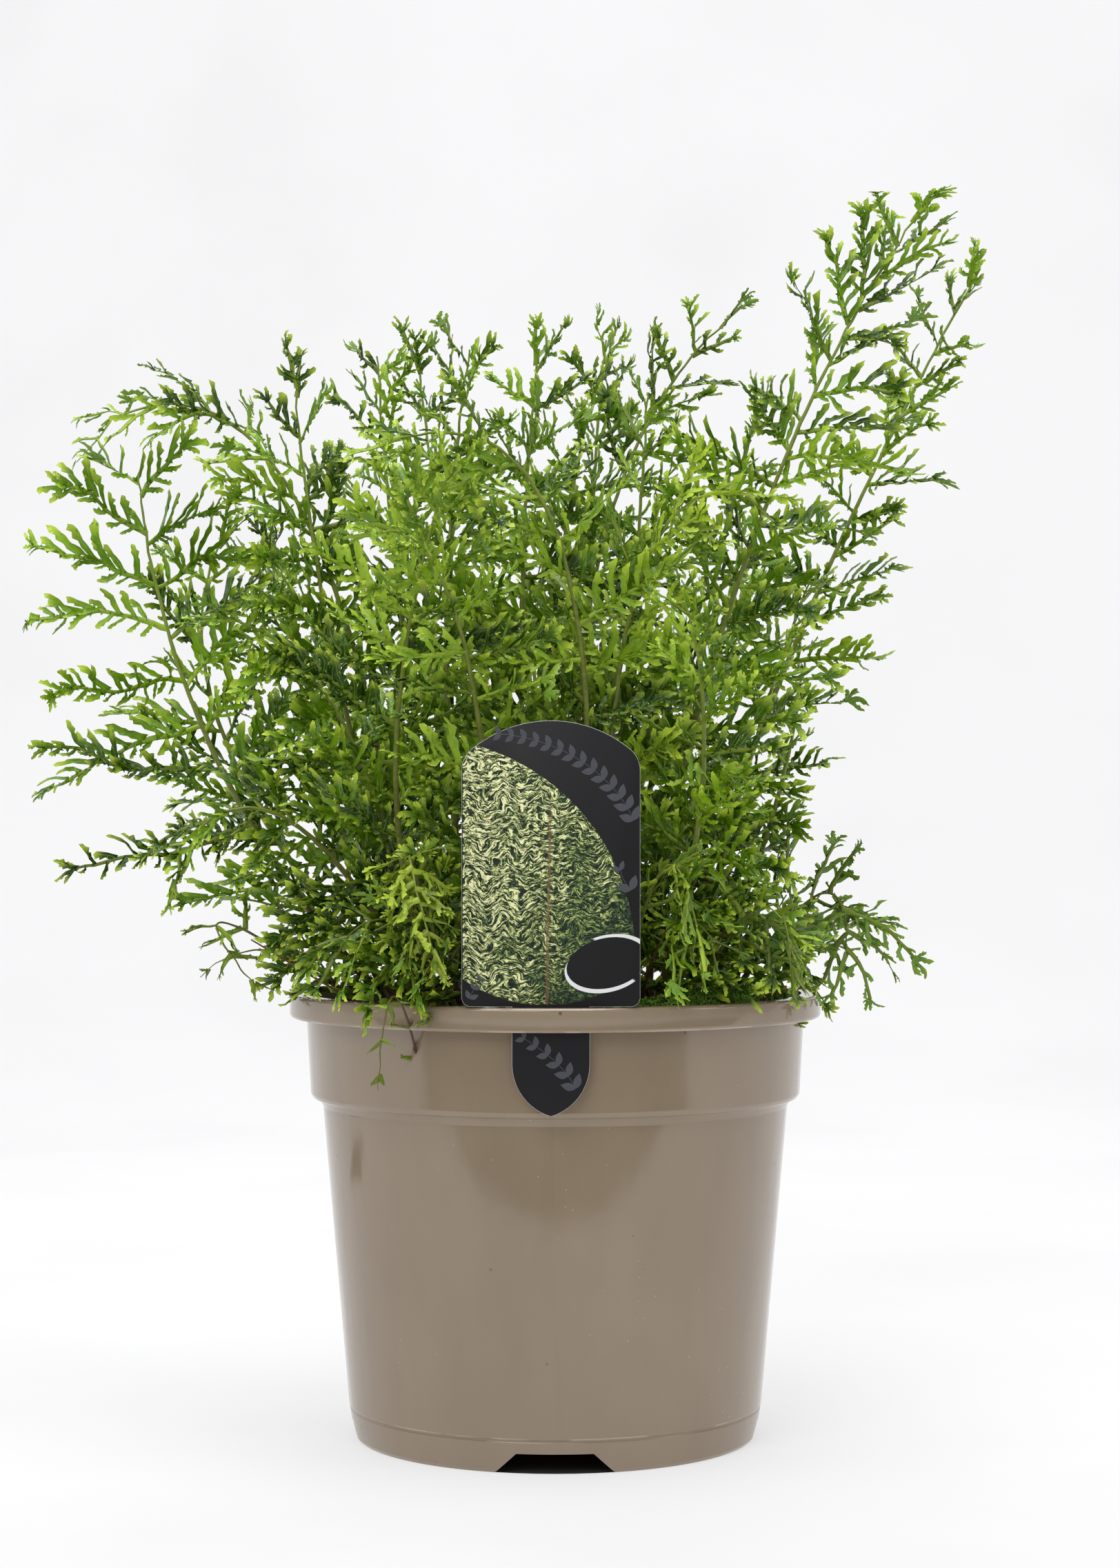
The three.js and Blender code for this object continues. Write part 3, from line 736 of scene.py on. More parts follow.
# The lobes that fan out in each kind of crest: (turn in radians, size as a share).
CREST_FANS = (
    ((0.75, 0.62), (0.3, 0.85), (-0.12, 1.0), (-0.55, 0.8), (-0.95, 0.55)),
    ((0.6, 0.8), (0.1, 1.0), (-0.42, 0.9), (-0.85, 0.6)),
    ((0.9, 0.55), (0.45, 0.9), (0.0, 0.8), (-0.5, 1.0)),
)
LOBE_LENGTH = 10 * MM
LOBE_WIDTH = 2.8 * MM
LOBE_THICKNESS = 0.26 * MM
LOBE_BEND = 2.2 * MM
# The "under" mark of a lobe's vertices: on its upper face, margin, tip and lower face.
UPPER, MARGIN, TIP, LOWER = 0.0, 0.5, 0.3, 1.0


def lobe_shape(edges, hand, fan=0.0, size=1.0, first=0):
    """The vertices, faces and values of one lobe, bent towards one hand and turned by fan."""
    half = LOBE_WIDTH / 2
    turn = Matrix.Rotation(fan, 3, "Z")
    vertices = []
    values = {"tipness": [], "across": [], "under": []}
    for order, (along, width) in enumerate(edges):
        bend = -hand * LOBE_BEND * along ** 1.6
        arch = (1.1 * along - 1.5 * along ** 2) * MM
        swing = 1 + 0.16 * (-1) ** order
        fold = 0.55 * width * half
        thick = LOBE_THICKNESS * (1 - 0.5 * along)
        rows = (
            (width * half * swing, fold, 1.0, MARGIN),
            (0.0, thick / 2, 0.0, UPPER),
            (-width * half * (2 - swing), fold, -1.0, MARGIN),
            (0.0, -thick / 2, 0.0, LOWER),
        )
        for side, rise, across, under in rows:
            vertices.append(turn @ Vector((along * LOBE_LENGTH, bend + side, arch + rise)) * size)
            values["tipness"].append(along)
            values["across"].append(across)
            values["under"].append(under)
    tip = Vector((LOBE_LENGTH, -hand * 2.3 * MM, -0.35 * MM))
    vertices.append(turn @ tip * size)
    values["tipness"].append(1.0)
    values["across"].append(0.0)
    values["under"].append(TIP)
    faces = [tuple(range(first, first + 4)), *tube_faces(first, len(edges))]
    return vertices, faces, values


def leaf_template(name, lobes):
    """One template from (edges, hand, fan, size) lobes, its margins kept crisp."""
    vertices, faces = [], []
    values = {"tipness": [], "across": [], "under": []}
    for edges, hand, fan, size in lobes:
        points, sides, marks = lobe_shape(edges, hand, fan, size, len(vertices))
        vertices += points
        faces += sides
        for label in values:
            values[label] += marks[label]
    mesh = mesh_of(name, vertices, faces)
    mesh.shade_smooth()
    margin = mesh.attributes.new("sharp_edge", "BOOLEAN", "EDGE")
    under = values["under"]
    for edge in mesh.edges:
        margin.data[edge.index].value = all(under[i] in (MARGIN, TIP) for i in edge.vertices)
    return template(name, mesh, **values)


def lobe_templates():
    """Single lobes, three of each hand, then the crests that end a leaflet."""
    singles = []
    for order in range(2 * TEMPLATES):
        hand = 1 if order < TEMPLATES else -1
        lobe = (LOBE_EDGES[order % TEMPLATES], hand, 0.0, 1.0)
        singles.append(leaf_template(f"lobe_{order}", [lobe]))
    crests = []
    for order, fan in enumerate(CREST_FANS):
        lobes = []
        for i, (turn, size) in enumerate(fan):
            edges = LOBE_EDGES[(order + i) % TEMPLATES]
            lobes.append((edges, 1 if turn < 0 else -1, turn, size))
        crests.append(leaf_template(f"crest_{order}", lobes))
    return gathered("Lobes", singles), gathered("Crests", crests)


# ---------------------------------------------------------------- frond tree

SWEEP = math.radians(22)  # how far leaflets lean towards the frond's tip
STALK_END = 0.965
STALK_STEPS = 60
LONGEST_LOBE = 11.8 * MM
LOBES_FROM = 0.06  # shares of a midrib from which lobes and the crest stand
CREST_FROM = 0.995
DRAWN_IN = 7 * MM
SCALE_SPACING = 2.2 * MM
BASAL_STEPS = 30


def leaflet_lines(graph, given, rachis):
    """The midrib of every leaflet as a curve, with what its lobes need stored on it."""
    seed = given["Seed"]
    pairs = given["Pairs"]
    index = graph.node("GeometryNodeInputIndex")
    pair = graph.function("FLOOR", index / 2)
    side = 1 - 2 * (index % 2)
    along = ((pair + 0.8) / (pairs + 0.1)) ** 0.9
    jitter = random_value(graph, -0.005, 0.005, seed, 1)
    bare = given["Bare Stalk"]
    place = graph.function("MINIMUM", bare + (0.99 - bare) * along + side * 0.006 + jitter, 0.998)
    sample = graph.node(
        "GeometryNodeSampleCurve", {"mode": "FACTOR", "use_all_curves": True, "data_type": "FLOAT"},
        {"Curves": rachis, "Factor": place}, "Position")
    forward = graph.unit(sample.also("Tangent"))
    look = given["Facing"]
    upper = graph.unit(look - forward * graph.dot(look, forward))
    left = graph.cross(upper, forward)
    sweep = SWEEP + random_value(graph, -0.42, 0.42, seed, 2) + 0.1 * along + 0.8 * along ** 9
    rise = 0.1 + random_value(graph, -0.45, 0.45, seed, 3)
    outward = left * (side * graph.function("COSINE", sweep))
    direction = graph.unit(forward * graph.function("SINE", sweep) + outward + upper * rise)
    roll = random_value(graph, -1.1, 1.1, seed, 4)
    face = upper + left * roll + forward * random_value(graph, -0.5, 0.3, seed, 5)
    share = graph.function("MINIMUM", 0.62 + 1.3 * along, 1.0) * (1 - 0.66 * along ** 4)
    reach = given["Leaflet Length"] * share * random_value(graph, 0.76, 1.12, seed, 6)
    points = graph.node("GeometryNodePoints", inputs={"Count": pairs * 2, "Position": sample})
    points = kept(graph, points, "face", face, "FLOAT_VECTOR")
    points = kept(graph, points, "tipward", forward, "FLOAT_VECTOR")
    points = kept(graph, points, "reach", reach)
    points = kept(graph, points, "tone", random_value(graph, 0.0, 1.0, seed, 7))
    points = kept(graph, points, "along", along)
    line = graph.node("GeometryNodeCurvePrimitiveLine", inputs={"End": (1.0, 0.0, 0.0)})
    lines = scattered(graph, points, line, turned_to(graph, direction, face), reach)
    lines = graph.node("GeometryNodeRealizeInstances", inputs={"Geometry": lines})
    return resampled(graph, lines, given["Lobe Spacing"])


def bent_lines(graph, given, lines):
    """The midribs hanging under their own weight, curled towards the frond's tip and swaying."""
    out = graph.node("GeometryNodeSplineParameter")
    reach = named(graph, "reach")
    position = graph.node("GeometryNodeInputPosition")
    tone = named(graph, "tone")
    down = (0.0, 0.0, -1.0)
    hang = given["Droop"] * reach * out * out * (0.4 + 1.2 * tone)
    curl = given["Curl"] * reach * out * out
    seeded = position + graph.vector(given["Seed"] * 0.37, tone * 0.2, 0.0)
    sway = drift(graph, seeded, 26.0) * (given["Sway"] * out * 2.0)
    offset = down * hang + named(graph, "tipward", "FLOAT_VECTOR") * curl + sway
    return placed(graph, lines, offset)


def lobes_on(graph, given, lines):
    """Lobes along both sides of every midrib, and a crest at its end."""
    seed = given["Seed"]
    parameter = graph.node("GeometryNodeSplineParameter")
    order = parameter.also("Index")
    reach = named(graph, "reach")
    tangent = graph.node("GeometryNodeInputTangent")
    face = graph.unit(named(graph, "face", "FLOAT_VECTOR"))
    twist = (named(graph, "tone") - 0.5) * parameter * given["Twist"]
    turned_aside = graph.cross(tangent, face) * graph.function("SINE", twist)
    face = face * graph.function("COSINE", twist) + turned_aside
    side = 1 - 2 * (order % 2)
    lateral = graph.unit(graph.cross(face, tangent)) * side
    tipmost = graph.dot(lateral, named(graph, "tipward", "FLOAT_VECTOR")) > 0.0
    angle = 1.16 - 0.45 * parameter + random_value(graph, -0.3, 0.3, seed, 11)
    rise = random_value(graph, -0.4, 0.55, seed, 12)
    along = tangent * graph.function("COSINE", angle)
    direction = along + lateral * graph.function("SINE", angle) + face * rise
    upward = face + lateral * random_value(graph, -0.9, 0.5, seed, 13)
    grows = graph.function("MINIMUM", 0.62 + 1.2 * parameter, 1.0) * (1 - 0.45 * parameter ** 3)
    least = given["Leaflet Length"] * 0.2
    share = graph.function("MAXIMUM", reach * given["Lobe Share"], least)
    longest = graph.function("MINIMUM", share, LONGEST_LOBE)
    length = longest * grows * (0.62 + 0.53 * tipmost)
    length = length * random_value(graph, 0.74, 1.3, seed, 14) / LOBE_LENGTH
    width = length ** 0.5
    picked = random_pick(graph, seed, 15)
    lines = kept(graph, lines, "out", parameter)
    choice = {
        "Pick Instance": True, "Selection": parameter > LOBES_FROM,
        "Instance Index": picked + TEMPLATES * (side < 0.0)}
    lobes = scattered(
        graph, lines, all_of(graph, given["Lobes"]), turned_to(graph, direction, upward),
        graph.vector(length, width, width), **choice)
    crown = longest * random_value(graph, 0.6, 0.95, seed, 16) / LOBE_LENGTH
    choice = {"Pick Instance": True, "Selection": parameter > CREST_FROM, "Instance Index": picked}
    crests = scattered(
        graph, lines, all_of(graph, given["Crests"]), turned_to(graph, tangent, upward),
        graph.vector(crown, crown, crown), **choice)
    flat = graph.node("GeometryNodeSetCurveNormal", {"mode": "FREE"}, {"Curve": lines, "Normal": face})
    midribs = swept(graph, flat, (1.1 - 0.45 * parameter) * MM, 6, 0.3)
    return joined(graph, lobes, crests), kept(graph, midribs, "stalk", 0.3)


def kept_inside(graph, geometry):
    """Geometry whose outermost few millimetres are drawn in, so that it ends inside the object's box."""
    position = graph.node("GeometryNodeInputPosition")
    inside = []
    for order, axis in enumerate("XYZ"):
        spot = position.axis(axis)
        for end, way in ((1, 1), (0, -1)):
            edge = way * CAD_BOX[end][order] - DRAWN_IN - 0.2 * MM
            beyond = graph.function("MAXIMUM", spot * way - edge, 0.0)
            held = DRAWN_IN * (1 - graph.function("EXPONENT", beyond / -DRAWN_IN))
            spot = spot + (held - beyond) * way
            if axis == "Z":
                break  # leaves never reach the floor
        inside.append(spot)
    inputs = {"Geometry": geometry, "Position": graph.vector(*inside)}
    return graph.node("GeometryNodeSetPosition", inputs=inputs)


def frond_tree(material):
    """A frond along its rachis: the stalk with its scales, the leaflets, their lobes and crests."""
    tree, graph, given = geometry_tree("Frond", (
        ("Facing", "Vector", (0.0, -1.0, 0.8)), ("Pairs", "Int", 12), ("Leaflet Length", "Float", 0.04),
        ("Lobe Spacing", "Float", 0.0025), ("Lobe Share", "Float", 0.3), ("Droop", "Float", 0.2),
        ("Curl", "Float", 0.1), ("Sway", "Float", 0.004), ("Twist", "Float", 3.2), ("Youth", "Float", 0.0),
        ("Bare Stalk", "Float", 0.03), ("Stalk Radius", "Float", 0.00155), ("Seed", "Int", 0),
        ("Lobes", "Collection", None), ("Crests", "Collection", None), ("Scale", "Object", None)))
    rachis = graph.node("GeometryNodeMeshToCurve", inputs={"Mesh": given["Geometry"]})
    share = graph.node("GeometryNodeSplineParameter")
    radius = given["Stalk Radius"] * (1 - 0.78 * share)
    rachis = kept(graph, rachis, "stalk", 1 - 0.6 * share ** 2)
    stalk = kept(graph, swept(graph, rachis, radius, 8), "tone", 0.5)
    lines = bent_lines(graph, given, leaflet_lines(graph, given, rachis))
    leaves, midribs = lobes_on(graph, given, lines)
    around = random_value(graph, 0.0, 6.28, given["Seed"], 21)
    tangent = graph.node("GeometryNodeInputTangent")
    normal = graph.node("GeometryNodeInputNormal")
    sideways = graph.cross(tangent, normal)
    spoke = normal * graph.function("COSINE", around) + sideways * graph.function("SINE", around)
    dense = random_value(graph, 0.0, 1.0, given["Seed"], 22) > 0.1 + 1.5 * share
    size = random_value(graph, 0.5, 1.1, given["Seed"], 23)
    spots = placed(graph, resampled(graph, rachis, SCALE_SPACING), spoke * radius * 0.8)
    leaning = turned_to(graph, tangent + spoke * 0.5, spoke)
    scales = scattered(graph, spots, shape_of(graph, given["Scale"]), leaning, size, Selection=dense)
    whole = joined(graph, stalk, midribs, leaves, scales)
    whole = graph.node("GeometryNodeRealizeInstances", inputs={"Geometry": whole})
    whole = kept(graph, whole, "youth", given["Youth"])
    position = graph.node("GeometryNodeInputPosition")
    leafy = 1 - graph.function("MINIMUM", named(graph, "stalk"), 1.0)
    whole = placed(graph, whole, drift(graph, position, 150.0) * (leafy * 4.0 * MM))
    close_tree(graph, kept_inside(graph, whole), material)
    return tree


def rachis_mesh(name, foot, knee, tip):
    """The line that a frond's stalk follows, starting on the surface of the pot's filling."""
    start = Vector((foot[0] * MM, foot[1] * MM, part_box(f"frond_{name}")[0].z))
    knee, tip = Vector(knee) * MM, Vector(tip) * MM
    shares = (STALK_END * i / STALK_STEPS for i in range(STALK_STEPS + 1))
    return line_mesh(name, [bezier(start, knee, tip, share) for share in shares])


def basal_mesh(order, foot, knee, tip):
    """The line that a short young frond's stalk follows."""
    start = Vector((*foot, COMPOST_TOP / MM)) * MM
    knee, tip = Vector(knee) * MM, Vector(tip) * MM
    shares = (i / BASAL_STEPS for i in range(BASAL_STEPS + 1))
    return line_mesh(f"basal_{order}", [bezier(start, knee, tip, share) for share in shares])


def leaf_material(settings):
    """Leaf green with paler tips and undersides, a vein, brownish stalks, and painted shade that darkens
    the leaflets low in the plant.
    """

    def attribute(graph, label):
        return graph.node("ShaderNodeAttribute", {"attribute_name": label}, output="Fac")

    def paint(graph, place):
        tipness = attribute(graph, "tipness")
        out = attribute(graph, "out")
        youth = attribute(graph, "youth")
        stalk = attribute(graph, "stalk")
        across = graph.function("ABSOLUTE", attribute(graph, "across"))
        patches = graph.noise(place, 24.0, 3.0)
        flecks = graph.noise(place, 420.0, 2.0)
        tone = 0.6 * attribute(graph, "tone") + 1.3 * patches - 0.5 + 0.3 * (flecks - 0.5)
        # Painted shade: the tone drops for leaflets below about 0.27 m, standing in for the shade deep and
        # low in the plant.
        tone = tone - 0.25 * (1 - graph.between(place.axis("Z"), 0.16, 0.27))
        dark, middle, pale = (
            tuple(colour) for colour in (settings.leaf_dark, settings.leaf_mid, settings.leaf_pale))
        green = graph.mix(graph.between(tone, 0.1, 0.75), dark, middle)
        fresh = graph.between(tone + 0.9 * youth, 0.55, 1.7)
        green = graph.mix(fresh, green, pale)
        tips = graph.between(tipness + 0.16 * out * out, 0.55, 1.1)
        green = graph.mix(tips * 0.85, green, pale)
        vein = (1 - graph.between(across, 0.04, 0.2)) * 0.22
        green = graph.mix(vein, green, pale)
        under = graph.between(attribute(graph, "under"), 0.5, 0.62)
        green = graph.mix(under * 0.85, green, tuple(settings.leaf_under))
        foot = graph.between(place.axis("Z") + 0.1 * youth, 0.165, 0.25)
        bark = graph.mix(foot, tuple(settings.stalk_foot), tuple(settings.stalk))
        bark = graph.mix(graph.between(flecks, 0.35, 0.7) * 0.4, bark, shade(86, 62, 36))
        colour = graph.mix(graph.between(stalk, 0.1, 0.9, smooth=False), green, bark)
        ribs = graph.function("SINE", tipness * 34.0 - across * 5.0)
        height = ribs * 0.35 * (1 - stalk) + flecks - vein * 1.5
        roughness = 0.22 + 0.18 * flecks + 0.2 * under
        return {
            "colour": colour, "roughness": roughness,
            "height": height, "strength": 0.35, "distance": 0.3 * MM}

    return surface("leaf", paint, Specular_IOR_Level=0.42)


# ---------------------------------------------------------------- fronds


def settings_of(context):
    """The settings groups of the scene."""
    scene = context.scene
    return scene.fern_plant, scene.fern_pot, scene.fern_ground, scene.fern_stage


def looks_to(bearing):
    """The way that a frond's upper side looks, outwards and upwards, from a bearing in degrees."""
    turn = math.radians(bearing)
    return math.cos(turn), math.sin(turn), 0.8


class FERN_OT_fronds(bpy.types.Operator):
    """Grow every frond along its rachis"""

    bl_idname = "fern.fronds"
    bl_label = "Fronds"

    def execute(self, context):
        """Builds the templates and the tree once, then one piece for each frond."""
        plant = settings_of(context)[0]
        material = leaf_material(plant)
        lobes, crests = lobe_templates()
        scale = scale_template("stalk_scale", 3.4 * MM, 0.9 * MM, stalk=2.0)
        tree = frond_tree(material)
        shapes = {"Lobes": lobes, "Crests": crests, "Scale": scale}
        for order, (name, numbers) in enumerate(FRONDS.items()):
            foot, knee, tip, facing, leaflet, pairs, youth = numbers
            values = {
                "Facing": looks_to(facing), "Pairs": round(pairs * PAIRS_FACTOR),
                "Leaflet Length": leaflet * MM, "Lobe Spacing": plant.spacing,
                "Lobe Share": plant.lobe_share, "Droop": plant.droop, "Curl": plant.curl,
                "Sway": min(plant.sway, 0.2 * leaflet * MM), "Youth": youth, "Seed": SEED_STEP * order}
            values |= shapes | HABITS.get(name, {})
            piece = grown(f"fern_{name}", rachis_mesh(name, foot, knee, tip), tree, values)
            settle(piece, "leaf_young" if name in YOUNG_SLOT else "leaf", f"frond_{name}")
        for order, (foot, knee, tip, facing) in enumerate(BASAL):
            values = {"Facing": looks_to(facing), "Seed": BASAL_SEED + SEED_STEP * order}
            values |= shapes | BASAL_HABIT
            piece = grown(f"basal_frond_{order}", basal_mesh(order, foot, knee, tip), tree, values)
            settle(piece, "leaf")
        return {"FINISHED"}


def scale_template(name, length, width, **marks):
    """A thin pointed scale, lying along X."""
    line = ((0.0, 0.6, 0.0), (0.35, 1.0, 0.05), (0.7, 0.6, 0.02))
    vertices = [(0.0, 0.0, -0.02 * length)]
    for along, half, rise in line:
        for side, lift in ((half, 0.0), (0.0, 0.06), (-half, 0.0), (0.0, -0.02)):
            vertices.append((along * length, side * width / 2, (rise + lift) * length))
    vertices.append((length, 0.0, -0.05 * length))
    faces = [(0, 1 + k, 1 + (k + 1) % 4) for k in range(4)] + tube_faces(1, len(line))
    marks = {label: [value] * len(vertices) for label, value in marks.items()}
    return template(name, mesh_of(name, vertices, faces), **marks)


# ---------------------------------------------------------------- pot, in millimetres

POT_HEIGHT = 158.0
RIM = 95.0
LIP = 1.3
WALL = 1.2
BAND_TOP = 89.4
CHANNEL_FOOT = 20.4
CHANNEL_ROOF = 13.1
CHANNEL_HEIGHT = 7.0
CHANNEL_START = 26.0
DRAIN_RADIUS = 4.5
DRAIN_AT = 50.0
MOULD_SEAM = 11.9
# Height of the lip's foot, where a pale line is partly real flash and partly painted highlight.
RIM_FLASH_AND_HIGHLIGHT = 150.0
SLOT_SIDES = (-14.5, 11.9)
SLOT_FRONT = -91.9
SLOT_BACK = -90.5
# The outside of the wall: (radius, height).
WALL_OUTSIDE = (
    (72, 1.4), (73.5, 10.7), (73.2, 11.0), (73.2, 11.5), (73.7, 11.9), (83.1, 118), (84.3, 120.4),
    (86.6, 121.1), (87.5, 122.6), (BAND_TOP, POT_HEIGHT - WALL),
)


def channel_mesh(grown_by):
    """The drainage channel in the underside, grown by the thickness of its wall."""
    foot, roof = CHANNEL_FOOT + grown_by, CHANNEL_ROOF + grown_by
    top = CHANNEL_HEIGHT + grown_by
    outline = ((-foot, -2), (foot, -2), (foot, 0), (roof, top), (-roof, top), (-foot, 0))
    return prism("channel", outline, -76.0, -CHANNEL_START + grown_by)


def quarters(make):
    """Four copies of a mesh, a quarter turn apart."""
    made = []
    for turn in range(4):
        mesh = make()
        mesh.transform(Matrix.Rotation(turn * math.pi / 2, 4, "Z"))
        made.append(mesh)
    return made


def drain_mesh():
    """The drill of one drainage hole."""
    profile = ((0, -4), (DRAIN_RADIUS, -4), (DRAIN_RADIUS, 16), (0, 16))
    drill = turned("drill", profile, 32)
    drill.transform(Matrix.Translation((0, -DRAIN_AT, 0)))
    return drill


def pot_mesh(segments):
    """The shell in millimetres, then brought to metres."""
    lip_inside = RIM - LIP
    lip_foot = POT_HEIGHT - 8.2
    outside = (
        (0, 0), (70.8, 0), *WALL_OUTSIDE, (lip_inside, POT_HEIGHT - WALL), (lip_inside - 0.1, lip_foot),
        (RIM - 0.5, lip_foot), (RIM, lip_foot + 1), (RIM, POT_HEIGHT - 0.8), (RIM - 0.8, POT_HEIGHT),
        (0, POT_HEIGHT),
    )
    inner = tuple((radius - WALL, height + WALL * 0.4) for radius, height in WALL_OUTSIDE)
    inside = ((0, WALL), (69.8, WALL), *inner, (BAND_TOP - WALL, POT_HEIGHT + 4), (0, POT_HEIGHT + 4))
    shell = turned("outside", rounded(outside, 0.35), segments)
    shell = carved("shell", shell, quarters(lambda: channel_mesh(0)))
    hollow = turned("inside", rounded(inside, 0.5), segments)
    hollow = carved("hollow", hollow, quarters(lambda: channel_mesh(WALL)))
    left, right = SLOT_SIDES
    low, high = POT_HEIGHT - 5, POT_HEIGHT + 5
    slot = prism("slot", ((left, low), (right, low), (right, high), (left, high)), SLOT_FRONT, SLOT_BACK)
    mesh = carved("pot", shell, [hollow, *quarters(drain_mesh), slot])
    mesh.transform(Matrix.Scale(MM, 4))
    face_outwards(mesh, 2e-6)
    smooth(mesh, 28)
    return mesh


def pot_material(settings):
    """Taupe injection-moulded plastic: faint flow marks, dust and specks of soil."""

    def paint(graph, place):
        height = place.axis("Z")
        around = graph.function("ARCTAN2", place.axis("X"), place.axis("Y"))
        flow = graph.noise(graph.vector(around * 2.2, around * 0.7, height * 9.0), 2.2, 3.0)
        clouds = graph.noise(place, 17.0, 4.0)
        grain = graph.noise(place, 900.0, 2.0)
        plastic = tuple(settings.plastic)
        colour = graph.mix(graph.between(flow, 0.3, 0.75) * 0.35, plastic, times(plastic, 0.8))
        colour = graph.mix(graph.between(clouds, 0.45, 0.8) * 0.35, colour, times(plastic, 1.22))
        gate = graph.between(graph.noise(place, 55.0, 2.0), 0.58, 0.66)
        specks = graph.dots(place, 130.0, 0.05, 0.1) * gate
        colour = graph.mix(specks * 0.75, colour, shade(60, 46, 34))
        pale = graph.dots(place, 210.0, 0.05, 0.09) * graph.between(clouds, 0.5, 0.62)
        colour = graph.mix(pale * 0.15, colour, shade(206, 196, 182))

        def hoop(level, inner, outer):
            away = graph.function("ABSOLUTE", height - level * MM)
            return 1 - graph.between(away, inner * MM, outer * MM)

        # Pale ragged lines: the mould seam, and at the lip's foot flash together with a painted highlight
        # along that edge.
        ragged = graph.between(graph.noise(place, 75.0, 3.0), 0.42, 0.6)
        marks = graph.function("MAXIMUM", hoop(MOULD_SEAM, 0.15, 0.5), hoop(RIM_FLASH_AND_HIGHLIGHT, 0.2, 0.6))
        line = marks * ragged
        colour = graph.mix(line * 0.45, colour, shade(196, 182, 164))
        roughness = settings.roughness + 0.08 * clouds + 0.25 * (specks + pale) + 0.04 * grain
        waves = graph.noise(graph.vector(around * 5.0, height * 22.0, 0.0), 1.6, 2.0)
        bump = waves + 0.3 * clouds + 0.01 * grain + 0.05 * (specks + line)
        return {
            "colour": colour, "roughness": roughness,
            "height": bump, "strength": 0.08, "distance": 1.6 * MM}

    return surface("pot_plastic", paint, Specular_IOR_Level=0.72)


class FERN_OT_pot(bpy.types.Operator):
    """Turn the pot's shell, with its channels, drainage holes and label slot"""

    bl_idname = "fern.pot"
    bl_label = "Pot"

    def execute(self, context):
        """Builds the pot in the place of its CAD node."""
        settings = settings_of(context)[1]
        piece = linked("nursery_pot", pot_mesh(settings.segments))
        piece.data.materials.append(pot_material(settings))
        settle(piece, "pot_plastic", "pot")
        return {"FINISHED"}


# ---------------------------------------------------------------- label, in millimetres

LABEL_X = -1.3
LABEL_Y = -91.2
LABEL_FOOT = 158.35
LABEL_HALF_WIDTH = 29.5
LABEL_HEIGHT = 94.5
LABEL_THICKNESS = 0.7
TONGUE_HALF = 12.9
TONGUE_STRAIGHT = 19.0
TONGUE_LENGTH = 36.3
WINDOW_DISCS = ((-44.2, 16.9, 72.0), (-1.9, 47.6, 47.1))  # (x, z, radius); the picture is where both are
OVAL_MIDDLE = (18.4, 14.4)
OVAL_TILT = 13
PICTURE_STOPS = (
    (0.05, shade(20, 30, 24)), (0.2, shade(46, 70, 42)), (0.36, shade(98, 122, 66)),
    (0.54, shade(176, 186, 104)), (0.78, shade(240, 238, 188)),
)
SPRIG_STEPS = 24


def arc(centre, radius, start, end, steps):
    """Points on an arc, its angles in radians."""
    turns = (start + (end - start) * i / steps for i in range(steps + 1))
    return [(centre[0] + radius * math.cos(turn), centre[1] + radius * math.sin(turn)) for turn in turns]


def label_outline():
    """The card's outline: an arched head with rounded shoulders, and a pointed tongue."""
    arch, shoulder, corner = 41.0, 9.0, 3.0
    shoulder_x = LABEL_HALF_WIDTH - shoulder
    rise = math.sqrt((arch - shoulder) ** 2 - shoulder_x ** 2)
    centre = LABEL_HEIGHT - arch
    turn = math.atan2(rise, shoulder_x)
    drop = TONGUE_LENGTH - TONGUE_STRAIGHT
    tip_radius = (TONGUE_HALF ** 2 + drop ** 2) / (2 * TONGUE_HALF)
    tip_turn = math.asin(drop / tip_radius)
    inset = tip_radius - TONGUE_HALF
    half = math.pi / 2
    points = [(TONGUE_HALF, 0)]
    points += arc((LABEL_HALF_WIDTH - corner, corner), corner, -half, 0, 6)
    points += arc((shoulder_x, centre + rise), shoulder, 0, turn, 8)
    points += arc((0, centre), arch, turn, math.pi - turn, 24)[1:-1]
    points += arc((-shoulder_x, centre + rise), shoulder, math.pi - turn, math.pi, 8)
    points += arc((corner - LABEL_HALF_WIDTH, corner), corner, math.pi, 3 * half, 6)
    points += [(-TONGUE_HALF, 0)]
    points += arc((inset, -TONGUE_STRAIGHT), tip_radius, math.pi, math.pi + tip_turn, 10)
    points += arc((-inset, -TONGUE_STRAIGHT), tip_radius, -tip_turn, 0, 10)[1:]
    return [(LABEL_X + x, LABEL_FOOT + z) for x, z in points]


